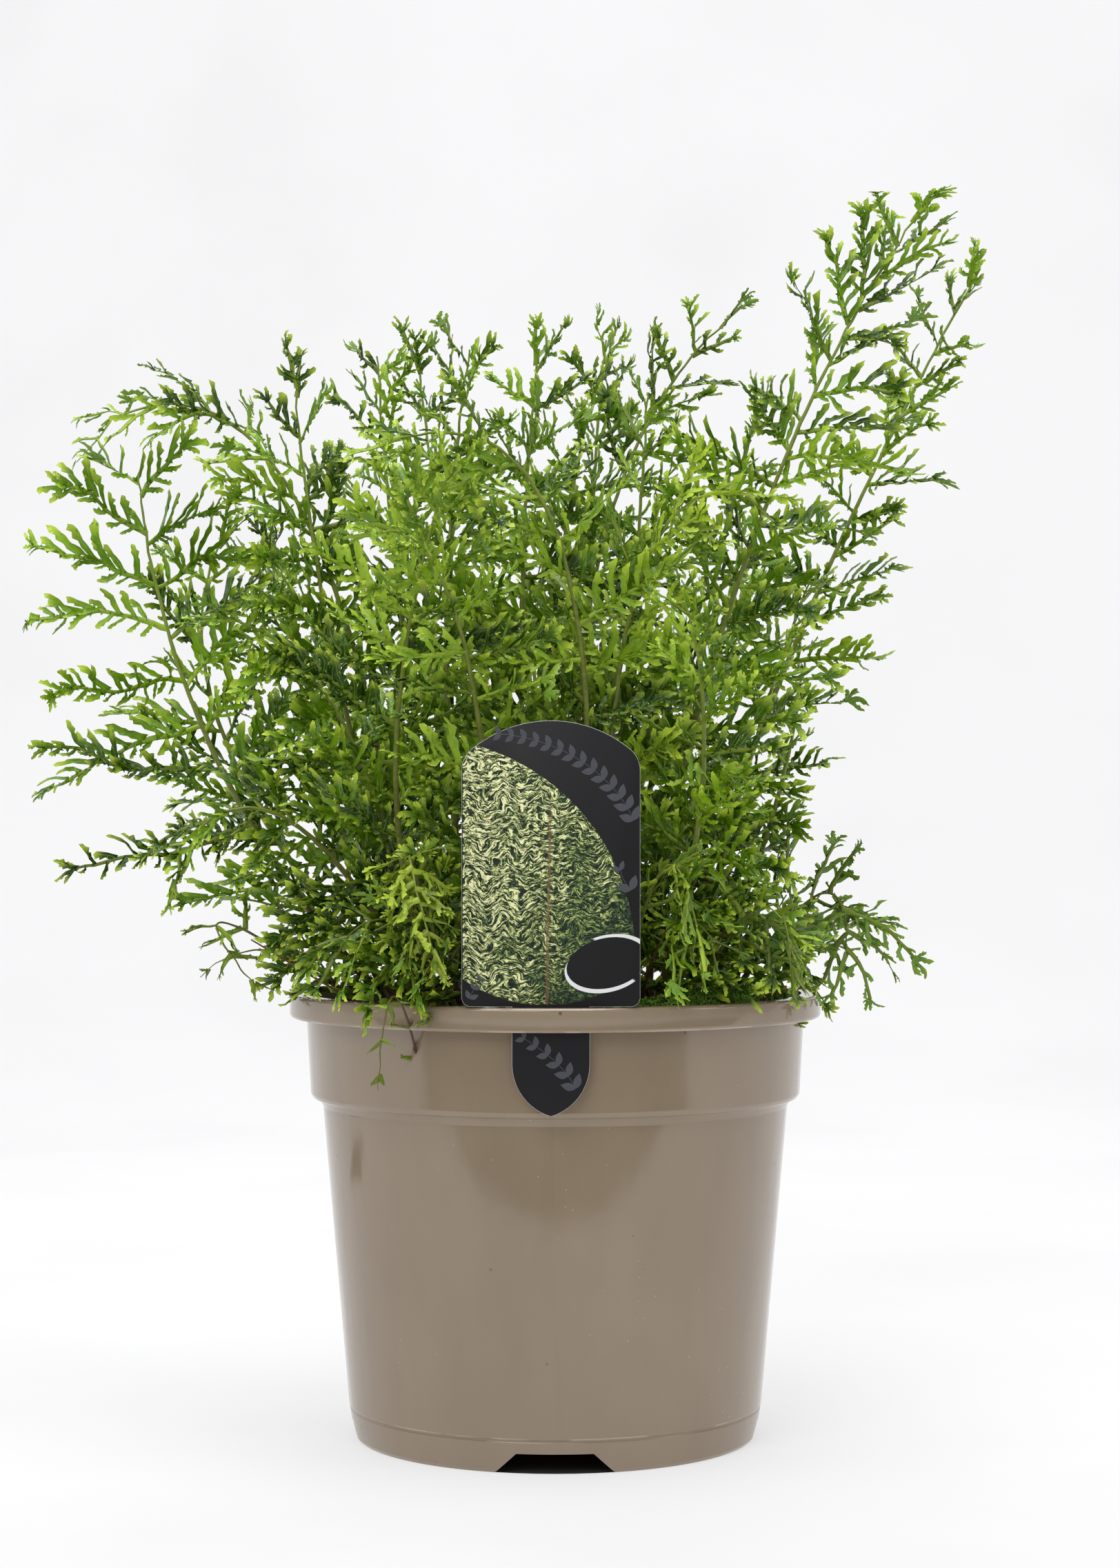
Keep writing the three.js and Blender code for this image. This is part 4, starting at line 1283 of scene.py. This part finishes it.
def card_material(settings):
    """A printed card: a dark ground, a leafy picture inside a curve, and a blank oval with pale arcs."""

    def paint(graph, place):
        across = (place.axis("X") - LABEL_X * MM) / MM
        rise = (place.axis("Z") - LABEL_FOOT * MM) / MM
        facing = graph.node("ShaderNodeNewGeometry", output="Normal").axis("Y")

        def disc(x, z, radius, soft=0.15):
            away = graph.length(graph.vector(across - x, rise - z, 0.0))
            return 1 - graph.between(away, radius - soft, radius + soft)

        window = disc(*WINDOW_DISCS[0]) * disc(*WINDOW_DISCS[1])
        window = window * graph.between(rise, 0.6, 0.9) * graph.between(across, -29.2, -29.0)
        spot = graph.vector(across * 0.1, rise * 0.1, 0.0)
        sideways = (graph.noise(spot, 1.1, 3.0) - 0.5) * 9.0
        upwards = (graph.noise(spot + (5.0, 0.0, 0.0), 1.2, 2.0) - 0.5) * 11.0
        reach = graph.function("ABSOLUTE", ((across + sideways) / 12.0 + 0.3) % 1.0 - 0.5) * 12.0
        risen = rise + upwards - 0.5 * reach
        row = graph.function("ABSOLUTE", (risen / 3.1) % 1.0 - 0.5) * 2.0
        clumps = graph.noise(spot, 0.75, 3.0)
        leafage = graph.noise(spot, 9.0, 6.0, 0.7, 1.0)
        sprays = graph.noise(graph.vector(across * 0.36, risen * 1.7, 0.0), 1.0, 4.0, 0.65)
        ragged = 0.9 * (leafage - 0.5) + 2.5 * (sprays - 0.5)
        feather = graph.between(0.16 * (1.0 - row) + ragged, -0.12, 0.5)
        light = 0.5 + 0.006 * rise - 0.014 * across + 1.6 * (clumps - 0.5)
        value = feather * light + 0.7 * (leafage - 0.4)
        picture = graph.node("ShaderNodeValToRGB", {"stops": PICTURE_STOPS}, {"Fac": value})
        stem = across + 1.5 - 0.02 * rise + 1.2 * (graph.noise(spot, 0.8) - 0.5)
        stems = 1 - graph.between(graph.function("ABSOLUTE", stem), 0.25, 0.7)
        stems = stems * (1 - graph.between(rise, 55.0, 72.0))
        picture = graph.mix(stems * 0.7, picture, shade(120, 88, 62))
        colour = graph.mix(window, tuple(settings.card), picture)
        turn = math.radians(OVAL_TILT)
        east, north = across - OVAL_MIDDLE[0], rise - OVAL_MIDDLE[1]
        long = east * math.cos(turn) + north * math.sin(turn)
        tall = north * math.cos(turn) - east * math.sin(turn)

        def oval(right, up, half_width, half_height):
            away = graph.vector((long - right) / half_width, (tall - up) / half_height, 0.0)
            return graph.length(away)

        badge = oval(0.0, 0.0, 13.4, 8.2)
        outside = graph.between(badge, 1.0, 1.015)
        lower = (1 - graph.between(oval(-0.4, -1.0, 14.0, 8.6), 0.985, 1.0)) * outside
        lower = lower * (1 - graph.between(long + 0.8 * tall, 1.0, 2.0))
        upper = (1 - graph.between(oval(0.6, 0.7, 14.2, 8.5), 0.985, 1.0)) * outside
        upper = upper * graph.between(long + 0.8 * tall, 4.0, 5.0)
        colour = graph.mix(1 - graph.between(badge, 0.99, 1.005), colour, tuple(settings.card))
        colour = graph.mix(graph.function("MAXIMUM", lower, upper), colour, shade(235, 235, 238))
        card_edge = graph.between(facing, -0.97, -0.8)
        colour = graph.mix(card_edge, colour, shade(214, 214, 216))
        grain = graph.noise(place, 2600.0, 2.0)
        roughness = 0.36 + 0.2 * grain + 0.1 * window
        return {
            "colour": colour, "roughness": roughness,
            "height": grain, "strength": 0.12, "distance": 0.05 * MM}

    return surface("label_card", paint, Specular_IOR_Level=0.35)


def sprig_tree(material):
    """Pairs of leaves along a thin stem."""
    tree, graph, given = geometry_tree("Sprig", (
        ("Spacing", "Float", 0.003), ("Leaf", "Object", None), ("Size", "Float", 1.0)))
    stem = graph.node("GeometryNodeMeshToCurve", inputs={"Mesh": given["Geometry"]})
    spots = resampled(graph, stem, given["Spacing"])
    leaf = shape_of(graph, given["Leaf"])
    tangent = graph.node("GeometryNodeInputTangent")
    share = graph.node("GeometryNodeSplineParameter")
    front = (0.0, -1.0, 0.0)
    across = graph.cross(tangent, front)
    parts = [swept(graph, stem, 0.12 * MM, 6)]
    for side in (-1.0, 1.0):
        rotation = turned_to(graph, tangent + across * side, front)
        parts.append(scattered(graph, spots, leaf, rotation, given["Size"] * (1.0 - 0.35 * share)))
    position = graph.node("GeometryNodeInputPosition")
    depth = position.axis("Y") - (LABEL_Y - LABEL_THICKNESS / 2) * MM
    press = graph.node("GeometryNodeRealizeInstances", inputs={"Geometry": joined(graph, *parts)})
    press = placed(graph, press, graph.vector(0.0, depth * -0.7, 0.0))
    close_tree(graph, press, material)
    return tree


# The printed sprigs: four points of a curve on the card, the spacing of its leaves and their size.
SPRIGS = {
    "label_sprig_arch": (((27.4, 61.5), (20.0, 78.0), (2.0, 88.5), (-16.5, 90.0)), 4.1, 1.0),
    "label_sprig_side": (((26.6, 38.5), (24.5, 40.5), (23.5, 42.5), (23.0, 45.0)), 4.4, 1.0),
    "label_sprig_foot": (((-26.8, 2.6), (-26.0, 5.0), (-25.0, 7.0), (-23.6, 8.6)), 3.4, 0.62),
    "label_sprig_tongue": (((8.2, -27.0), (5.0, -20.0), (-3.0, -14.0), (-8.6, -10.6)), 4.2, 1.0),
}


def flat_leaf(name, length, width):
    """A thin pointed leaf lying along X, raised in its middle."""
    sides = [(i / 8, math.sin(math.pi * (i / 8) ** 0.85)) for i in range(1, 8)]
    rim = [(0.0, 0.0)] + sides + [(1.0, 0.0)] + [(along, -half) for along, half in reversed(sides)]
    vertices = [(along * length, half * width / 2, 0.0) for along, half in rim]
    count = len(vertices)
    vertices += [(0.45 * length, 0.0, 0.12 * MM), (0.45 * length, 0.0, -0.02 * MM)]
    faces = [(i, (i + 1) % count, count) for i in range(count)]
    faces += [((i + 1) % count, i, count + 1) for i in range(count)]
    return bpy.data.objects.new(name, mesh_of(name, vertices, faces))


class FERN_OT_label(bpy.types.Operator):
    """Cut the plant label and print it"""

    bl_idname = "fern.label"
    bl_label = "Plant Label"

    def execute(self, context):
        """Builds the card, then the sprigs on its face."""
        settings = settings_of(context)[1]
        low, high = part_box("plant_label")
        outline = [(x * MM, z * MM) for x, z in label_outline()]
        card = linked("label_plate", prism("label_plate", outline, low.y, high.y))
        bevel = card.modifiers.new("Bevel", "BEVEL")
        bevel.width = 0.3 * MM
        bevel.segments = 2
        bevel.limit_method = "ANGLE"
        baked(card)
        smooth(card.data, 40)
        card.data.materials.append(card_material(settings))
        settle(card, "label_card", "plant_label")

        def ink(graph, place):
            flecks = graph.noise(place, 1500.0, 2.0)
            tint = tuple(settings.sprig)
            colour = graph.mix(flecks * 0.4, tint, times(tint, 1.25))
            return {"colour": colour, "roughness": 0.4 + 0.1 * flecks}

        tree = sprig_tree(surface("label_ink", ink))
        leaf = flat_leaf("sprig_leaf", 5.2 * MM, 2.7 * MM)
        front = low.y - 0.03 * MM
        for name, (line, spacing, size) in SPRIGS.items():
            a, b, c, d = (Vector(((LABEL_X + x) * MM, front, (LABEL_FOOT + z) * MM)) for x, z in line)
            spots = []
            for i in range(SPRIG_STEPS + 1):
                share = i / SPRIG_STEPS
                spots.append(bezier(a, b, c, share).lerp(bezier(b, c, d, share), share))
            values = {"Spacing": spacing * MM, "Leaf": leaf, "Size": size}
            piece = grown(name, line_mesh(name, spots), tree, values)
            settle(piece, "label_card")
        return {"FINISHED"}


# ---------------------------------------------------------------- compost, crowns, moss and dead stalks


CRUMB_BED = ((0.0, 0.0), (0.07, 0.0003), (0.0865, 0.0), (0.0, -0.0008))
CROWN_DENSITY = 620000.0  # scales for each square metre
CRUMB_SEED, CROWN_SEED, MOSS_SEED, CARPET_SEED = 5, 11, 41, 61
DRY_STEPS = 30
# The moss carpet across its width: (radius, rise above the compost) in millimetres.
CARPET_ROWS = ((64, 0.2), (70, 6.0), (77, 8.2), (84, 5.2), (86.6, 0.2))
CARPET_FOOT = 152.0
CARPET_BEARINGS = (-78, 12)
CARPET_STEPS = 40


def scatter_tree(name, material, tilt):
    """Templates scattered over a surface, standing out of it; the surface is kept."""
    tree, graph, given = geometry_tree(name, (
        ("Density", "Float", 1000.0), ("Seed", "Int", 0), ("Smallest", "Float", 0.5),
        ("Largest", "Float", 1.0), ("Templates", "Collection", None)))
    points = graph.node(
        "GeometryNodeDistributePointsOnFaces", {"distribute_method": "RANDOM"},
        {"Mesh": given["Geometry"], "Density": given["Density"], "Seed": given["Seed"]}, "Points")
    normal = points.also("Normal")
    seed = given["Seed"]
    loose = graph.vector(*(random_value(graph, -1.0, 1.0, seed, k) for k in (1, 2, 3)))
    leaning = graph.unit(normal + loose * tilt)
    aside = graph.cross(leaning, graph.unit(loose + (0.01, 0.02, 0.03)))
    choice = {"Pick Instance": True, "Instance Index": random_pick(graph, seed, 4)}
    size = random_value(graph, given["Smallest"], given["Largest"], seed, 5)
    spread = scattered(
        graph, points, all_of(graph, given["Templates"]), turned_to(graph, leaning, aside), size, **choice)
    close_tree(graph, joined(graph, spread, given["Geometry"]), material)
    return tree


def lump(name, size, seed):
    """An uneven crumb."""
    work = bmesh.new()
    bmesh.ops.create_icosphere(work, subdivisions=1, radius=size)
    for order, vertex in enumerate(work.verts):
        wave = math.sin(seed * 12.9 + order * 78.2) * 0.32
        vertex.co *= 1 + wave
        vertex.co.z *= 0.55 + 0.2 * math.cos(seed)
    mesh = bpy.data.meshes.new(name)
    work.to_mesh(mesh)
    work.free()
    return bpy.data.objects.new(name, mesh)


def dome_mesh(name, node, rings=7, segments=28):
    """A low uneven dome that fills a CAD node's box."""
    low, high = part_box(node)
    middle = (low + high) / 2
    reach = (high - low) / 2
    profile = [(0.0, -1.0), (0.9, -1.0)]
    for i in range(rings):
        turn = i / rings * math.pi / 2
        profile.append((math.cos(turn), -0.86 + 1.8 * math.sin(turn)))
    mesh = turned(name, [*profile, (0.0, 0.95)], segments)
    for vertex in mesh.vertices:
        x, y, z = vertex.co
        wave = 1 - 0.09 * (1 + math.sin(9 * x + 2 * z) * math.cos(8 * y + x))
        place = (middle.x + x * reach.x * wave, middle.y + y * reach.y * wave, middle.z + z * reach.z)
        vertex.co = Vector(place)
    smooth(mesh, 60)
    return mesh


def earthy(name, dark, light, scale, roughness=0.9, **constants):
    """A rough natural material with uneven colour."""

    def paint(graph, place):
        patches = graph.noise(place, scale, 5.0, 0.65)
        flecks = graph.noise(place, scale * 7, 2.0)
        value = graph.between(0.6 * patches + 0.5 * flecks, 0.36, 0.74)
        colour = graph.mix(value, dark, light)
        return {
            "colour": colour, "roughness": roughness - 0.15 * flecks,
            "height": patches + flecks, "strength": 0.7, "distance": 0.6 * MM}

    return surface(name, paint, **constants)


class FERN_OT_compost(bpy.types.Operator):
    """Fill the pot with compost and loose crumbs"""

    bl_idname = "fern.compost"
    bl_label = "Compost"

    def execute(self, context):
        """Finishes the root ball and scatters crumbs on it."""
        settings = settings_of(context)[2]
        colour = tuple(settings.compost)
        material = earthy("compost", times(colour, 0.45), times(colour, 1.9), 260.0)
        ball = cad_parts["root_ball"]
        ball.data.materials.clear()
        ball.data.materials.append(material)
        bed = turned("crumb_bed", CRUMB_BED, 48)
        bed.transform(Matrix.Translation((0, 0, COMPOST_TOP + 0.9 * MM)))
        crumbs = gathered("Crumbs", [lump(f"crumb_{i}", 1.3 * MM, i + 1) for i in range(TEMPLATES)])
        tree = scatter_tree("Compost Crumbs", material, 3.0)
        values = {
            "Density": settings.crumbs, "Seed": CRUMB_SEED, "Smallest": 0.4, "Largest": 1.7,
            "Templates": crumbs}
        settle(grown("compost_crumbs", bed, tree, values), "compost")
        return {"FINISHED"}


class FERN_OT_crowns(bpy.types.Operator):
    """Cover each crown with papery scales"""

    bl_idname = "fern.crowns"
    bl_label = "Crowns"

    def execute(self, context):
        """Builds one scaly crown in the place of each CAD crown."""
        colour = tuple(settings_of(context)[2].scales)
        material = earthy("crown_scales", times(colour, 0.35), times(colour, 1.5), 190.0, 0.75)
        scales = [
            scale_template(f"papery_scale_{i}", (5.2 + i) * MM, 2.0 * MM) for i in range(TEMPLATES)]
        tree = scatter_tree("Crown Scales", material, 0.8)
        group = gathered("Papery Scales", scales)
        for order, node in enumerate(CROWNS):
            values = {
                "Density": CROWN_DENSITY, "Seed": CROWN_SEED + order, "Smallest": 0.6, "Largest": 1.3,
                "Templates": group}
            settle(grown(f"scaly_{node}", dome_mesh(node, node), tree, values), "crown_scales", node)
        return {"FINISHED"}


def moss_shoot(name, blades, size):
    """A tiny shoot: a few leaves fanned round a stem that points along X."""
    vertices, faces = [], []
    for order in range(blades):
        angle = 2 * math.pi * order / blades + size * 900
        spoke = Vector((0.0, math.cos(angle), math.sin(angle)))
        cross = spoke.cross(Vector((1, 0, 0)))
        base = len(vertices)
        start = Vector((0.25 * size * order / blades, 0, 0))
        middle = start + Vector((0.5 * size, 0, 0)) + spoke * 0.24 * size
        half = cross * 0.16 * size
        vertices += [start, middle + half, middle - half, middle - spoke * 0.08 * size]
        vertices.append(start + Vector((0.72 * size, 0, 0)) + spoke * 0.62 * size)
        for one, two in ((1, 2), (2, 3), (3, 1)):
            faces.append((base, base + one, base + two))
        for one, two in ((2, 1), (3, 2), (1, 3)):
            faces.append((base + 4, base + one, base + two))
    return bpy.data.objects.new(name, mesh_of(name, vertices, faces))


def moss_carpet():
    """A thin uneven crescent of moss along the inside of the rim."""
    start, end = (math.radians(bearing) for bearing in CARPET_BEARINGS)
    steps = CARPET_STEPS
    vertices, faces = [], []
    for step in range(steps + 1):
        turn = start + (end - start) * step / steps
        swell = math.sin(math.pi * step / steps) ** 0.4
        for radius, rise in CARPET_ROWS:
            wave = 1 + 0.3 * math.sin(13 * turn + radius) * math.cos(7 * turn)
            away = radius + (76 - radius) * (1 - swell)
            lift = CARPET_FOOT + rise * wave * swell
            vertices.append(Vector((away * math.cos(turn), away * math.sin(turn), lift)) * MM)
        vertices.append(Vector((80 * math.cos(turn), 80 * math.sin(turn), CARPET_FOOT - 0.4)) * MM)
    count = len(CARPET_ROWS) + 1
    for step in range(steps):
        for k in range(count):
            a, b = step * count + k, step * count + (k + 1) % count
            faces.append((a, b, b + count, a + count))
    faces += [tuple(range(count)), tuple(steps * count + k for k in range(count))]
    mesh = mesh_of("moss_carpet", vertices, faces)
    smooth(mesh, 60)
    return mesh


class FERN_OT_moss(bpy.types.Operator):
    """Grow the moss cushions shoot by shoot"""

    bl_idname = "fern.moss"
    bl_label = "Moss"

    def execute(self, context):
        """Builds one cushion in the place of each CAD cushion."""
        settings = settings_of(context)[2]
        colour = tuple(settings.moss)
        material = earthy("moss", times(colour, 0.3), times(colour, 1.6), 300.0, 0.85)
        shoots = [moss_shoot(f"shoot_{i}", 5, (1.5 + 0.3 * i) * MM) for i in range(TEMPLATES)]
        shoots = gathered("Moss Shoots", shoots)
        tree = scatter_tree("Moss Cushion", material, 0.7)
        for order, node in enumerate(CUSHIONS):
            values = {
                "Density": settings.shoots, "Seed": MOSS_SEED + order, "Smallest": 0.6, "Largest": 1.3,
                "Templates": shoots}
            settle(grown(f"cushion_{node}", dome_mesh(node, node), tree, values), "moss", node)
        values = {
            "Density": 0.62 * settings.shoots, "Seed": CARPET_SEED, "Smallest": 0.8, "Largest": 1.7,
            "Templates": shoots}
        settle(grown("moss_carpet", moss_carpet(), tree, values), "moss")
        return {"FINISHED"}


def stalk_tree(material):
    """A dry stalk swept along a line, thinner towards its end."""
    tree, graph, given = geometry_tree("Dry Stalk", (("Radius", "Float", 0.0006),))
    line = graph.node("GeometryNodeMeshToCurve", inputs={"Mesh": given["Geometry"]})
    share = graph.node("GeometryNodeSplineParameter")
    knots = graph.noise(graph.node("GeometryNodeInputPosition"), 300.0)
    whole = swept(graph, line, given["Radius"] * (0.95 - 0.45 * share + 0.3 * (knots - 0.5)), 8)
    close_tree(graph, whole, material)
    return tree


class FERN_OT_dead_stalks(bpy.types.Operator):
    """Lay the dry stalks"""

    bl_idname = "fern.dead_stalks"
    bl_label = "Dry Stalks"

    def execute(self, context):
        """Builds each dry stalk in the place of its CAD node."""
        material = earthy("dead_stalk", shade(48, 30, 20), shade(132, 98, 62), 240.0, 0.8)
        tree = stalk_tree(material)
        for name, (radius, points) in DEAD_STALKS.items():
            a, b, c = (Vector(point) * MM for point in points)
            bend = b * 2 - (a + c) / 2
            spots = [bezier(a, bend, c, i / DRY_STEPS) for i in range(DRY_STEPS + 1)]
            line = line_mesh(name, spots)
            settle(grown(f"dry_{name[5:]}", line, tree, {"Radius": radius * MM}), "dead_stalk", name)
        return {"FINISHED"}


# ---------------------------------------------------------------- stage


LOOK_AT = (0, 0, 0.2)
# Lights: where they stand and the point they face, their size in metres and their power in watts.
LIGHTS = {
    "window_left": ((-0.8, -1.9, 1.7), LOOK_AT, (1.3, 1.2), 17),
    "window_right": ((2.0, -0.6, 1.1), LOOK_AT, (0.8, 1.6), 6),
    "overhead": ((-0.1, -0.35, 2.0), LOOK_AT, (1.1, 0.9), 20),
    "backdrop_wash": ((0.0, 0.9, 2.2), (0, 2.0, 0.6), (3.0, 0.8), 8),
}
# Dark cards that only reflections show: their sides, then their front and back edges.
CARDS = {
    "card_below": ((-3.0, 3.0), (-1.4, -0.288)),
    "card_beside": ((-0.49, -0.41), (0.12, 0.22)),
}
FLOOR_BEND = 1.1
BEND_RADIUS = 0.9
BEND_STEPS = 12
SHADE_PROFILE = ((0, -0.4), (70.4, -0.4), (70.4, 0.02), (0, 0.02))  # millimetres, under the pot
CAMERA_PLACE = (1.7 * MM, -1.12, 0.222)
CAMERA_PITCH = math.radians(90.55)
SENSOR_WIDTH = 36.0


def sweep_mesh():
    """A floor that curves up into a backdrop behind the plant."""
    line = [(-6.0, 0.0), (FLOOR_BEND, 0.0)]
    for i in range(1, BEND_STEPS + 1):
        turn = i / BEND_STEPS * math.pi / 2
        back = FLOOR_BEND + BEND_RADIUS * math.sin(turn)
        line.append((back, BEND_RADIUS - BEND_RADIUS * math.cos(turn)))
    line.append((FLOOR_BEND + BEND_RADIUS, 5.0))
    vertices = [(x, y, z) for y, z in line for x in (-5.0, 5.0)]
    faces = [(2 * i, 2 * i + 1, 2 * i + 3, 2 * i + 2) for i in range(len(line) - 1)]
    mesh = bpy.data.meshes.new("studio_sweep")
    mesh.from_pydata(vertices, [], faces)
    mesh.shade_smooth()
    return mesh


def area_light(name, place, target, size, watts):
    """A soft rectangular light that faces a point."""
    light = bpy.data.lights.new(name, "AREA")
    light.shape = "RECTANGLE"
    light.size, light.size_y = size
    light.energy = watts
    made = linked(name, light)
    made.location = place
    made.rotation_euler = (Vector(target) - Vector(place)).to_track_quat("-Z", "Y").to_euler()
    return made


def paper_material(settings):
    """White paper that gives off light of its own: a painted glow that evens it out and fills in the
    shadows on it.
    """

    def paint(graph, place):
        clouds = graph.noise(place, 2.6, 6.0)
        pale = tuple(settings.backdrop)
        colour = graph.mix(graph.between(clouds, 0.4, 0.75), pale, times(pale, 0.84))
        return {"colour": colour, "roughness": 0.7 + 0.2 * clouds}

    glow = {"Emission_Color": (0.99, 0.99, 1.0, 1.0), "Emission_Strength": settings.glow}
    return surface("studio_paper", paint, **glow)


def dark_material():
    """Dull black, for the cards and for the painted shade under the pot."""

    def paint(graph, place):
        shadow = graph.mix(graph.noise(place, 2.0), (0.02, 0.02, 0.02), (0.05, 0.05, 0.05))
        return {"colour": shadow, "roughness": 0.9}

    return surface("dark_card", paint)


def dark_shapes():
    """The cards that the pot reflects, and the dark disc of painted shade that it stands on."""
    dark = dark_material()
    for name, ((left, right), (near, far)) in CARDS.items():
        outline = ((left, 0.001), (right, 0.001), (right, 0.0), (left, 0.0))
        card = linked(name, prism(name, outline, near, far))
        card.data.materials.append(dark)
        for way in ("camera", "diffuse", "transmission", "volume_scatter", "shadow"):
            setattr(card, "visible_" + way, False)
    mesh = turned("contact_shade", SHADE_PROFILE, 64)
    mesh.transform(Matrix.Scale(MM, 4))
    disc = linked("contact_shade", mesh)
    disc.data.materials.append(dark)


def ambient_light(scene, strength):
    """White light from all sides."""
    scene.world = bpy.data.worlds.new("studio")
    scene.world.use_nodes = True
    shell = scene.world.node_tree.nodes["Background"]
    shell.inputs["Color"].default_value = (1.0, 1.0, 1.0, 1.0)
    shell.inputs["Strength"].default_value = strength


def front_camera(scene, lens):
    """The camera in front of the plant, a little above the pot's rim."""
    camera = linked("camera", bpy.data.cameras.new("camera"))
    camera.data.lens = lens
    camera.data.sensor_width = SENSOR_WIDTH
    camera.location = CAMERA_PLACE
    camera.rotation_euler = (CAMERA_PITCH, 0.0, 0.0)
    scene.camera = camera


class FERN_OT_stage(bpy.types.Operator):
    """Set the floor, the lights and the camera"""

    bl_idname = "fern.stage"
    bl_label = "Stage"

    def execute(self, context):
        """Builds everything that is not part of the object."""
        settings = settings_of(context)[3]
        floor = linked("studio_sweep", sweep_mesh())
        floor.data.materials.append(paper_material(settings))
        for name, light in LIGHTS.items():
            area_light(name, *light)
        dark_shapes()
        context.scene.view_settings.view_transform = "Standard"
        ambient_light(context.scene, settings.ambient)
        front_camera(context.scene, settings.lens)
        return {"FINISHED"}


# ---------------------------------------------------------------- add-on


class FERN_PT_panel(bpy.types.Panel):
    """The parts of the potted fern and their settings"""

    bl_idname = "FERN_PT_panel"
    bl_label = "Potted Fern"
    bl_space_type = "VIEW_3D"
    bl_region_type = "UI"
    bl_category = "Potted Fern"

    def draw(self, context):
        """Lists the settings and the operators."""
        for group in settings_of(context):
            box = self.layout.box()
            for name in group.__annotations__:
                box.prop(group, name)
        for operator in OPERATORS:
            self.layout.operator(operator.bl_idname)


OPERATORS = (
    FERN_OT_stage, FERN_OT_pot, FERN_OT_label, FERN_OT_compost, FERN_OT_crowns, FERN_OT_moss,
    FERN_OT_dead_stalks, FERN_OT_fronds,
)
GROUPS = {
    "fern_plant": FernSettings, "fern_pot": PotSettings,
    "fern_ground": GroundSettings, "fern_stage": StageSettings,
}


def register():
    """Adds the classes and the scene's settings."""
    for made in (*GROUPS.values(), *OPERATORS, FERN_PT_panel):
        bpy.utils.register_class(made)
    for name, group in GROUPS.items():
        setattr(bpy.types.Scene, name, bpy.props.PointerProperty(type=group))


def unregister():
    """Takes them away again."""
    for name in GROUPS:
        delattr(bpy.types.Scene, name)
    for made in (FERN_PT_panel, *reversed(OPERATORS), *reversed(GROUPS.values())):
        bpy.utils.unregister_class(made)


def main():
    """Builds every piece in order."""
    register()
    for operator in OPERATORS:
        group, name = operator.bl_idname.split(".")
        getattr(getattr(bpy.ops, group), name)()


if __name__ == "__main__":
    main()
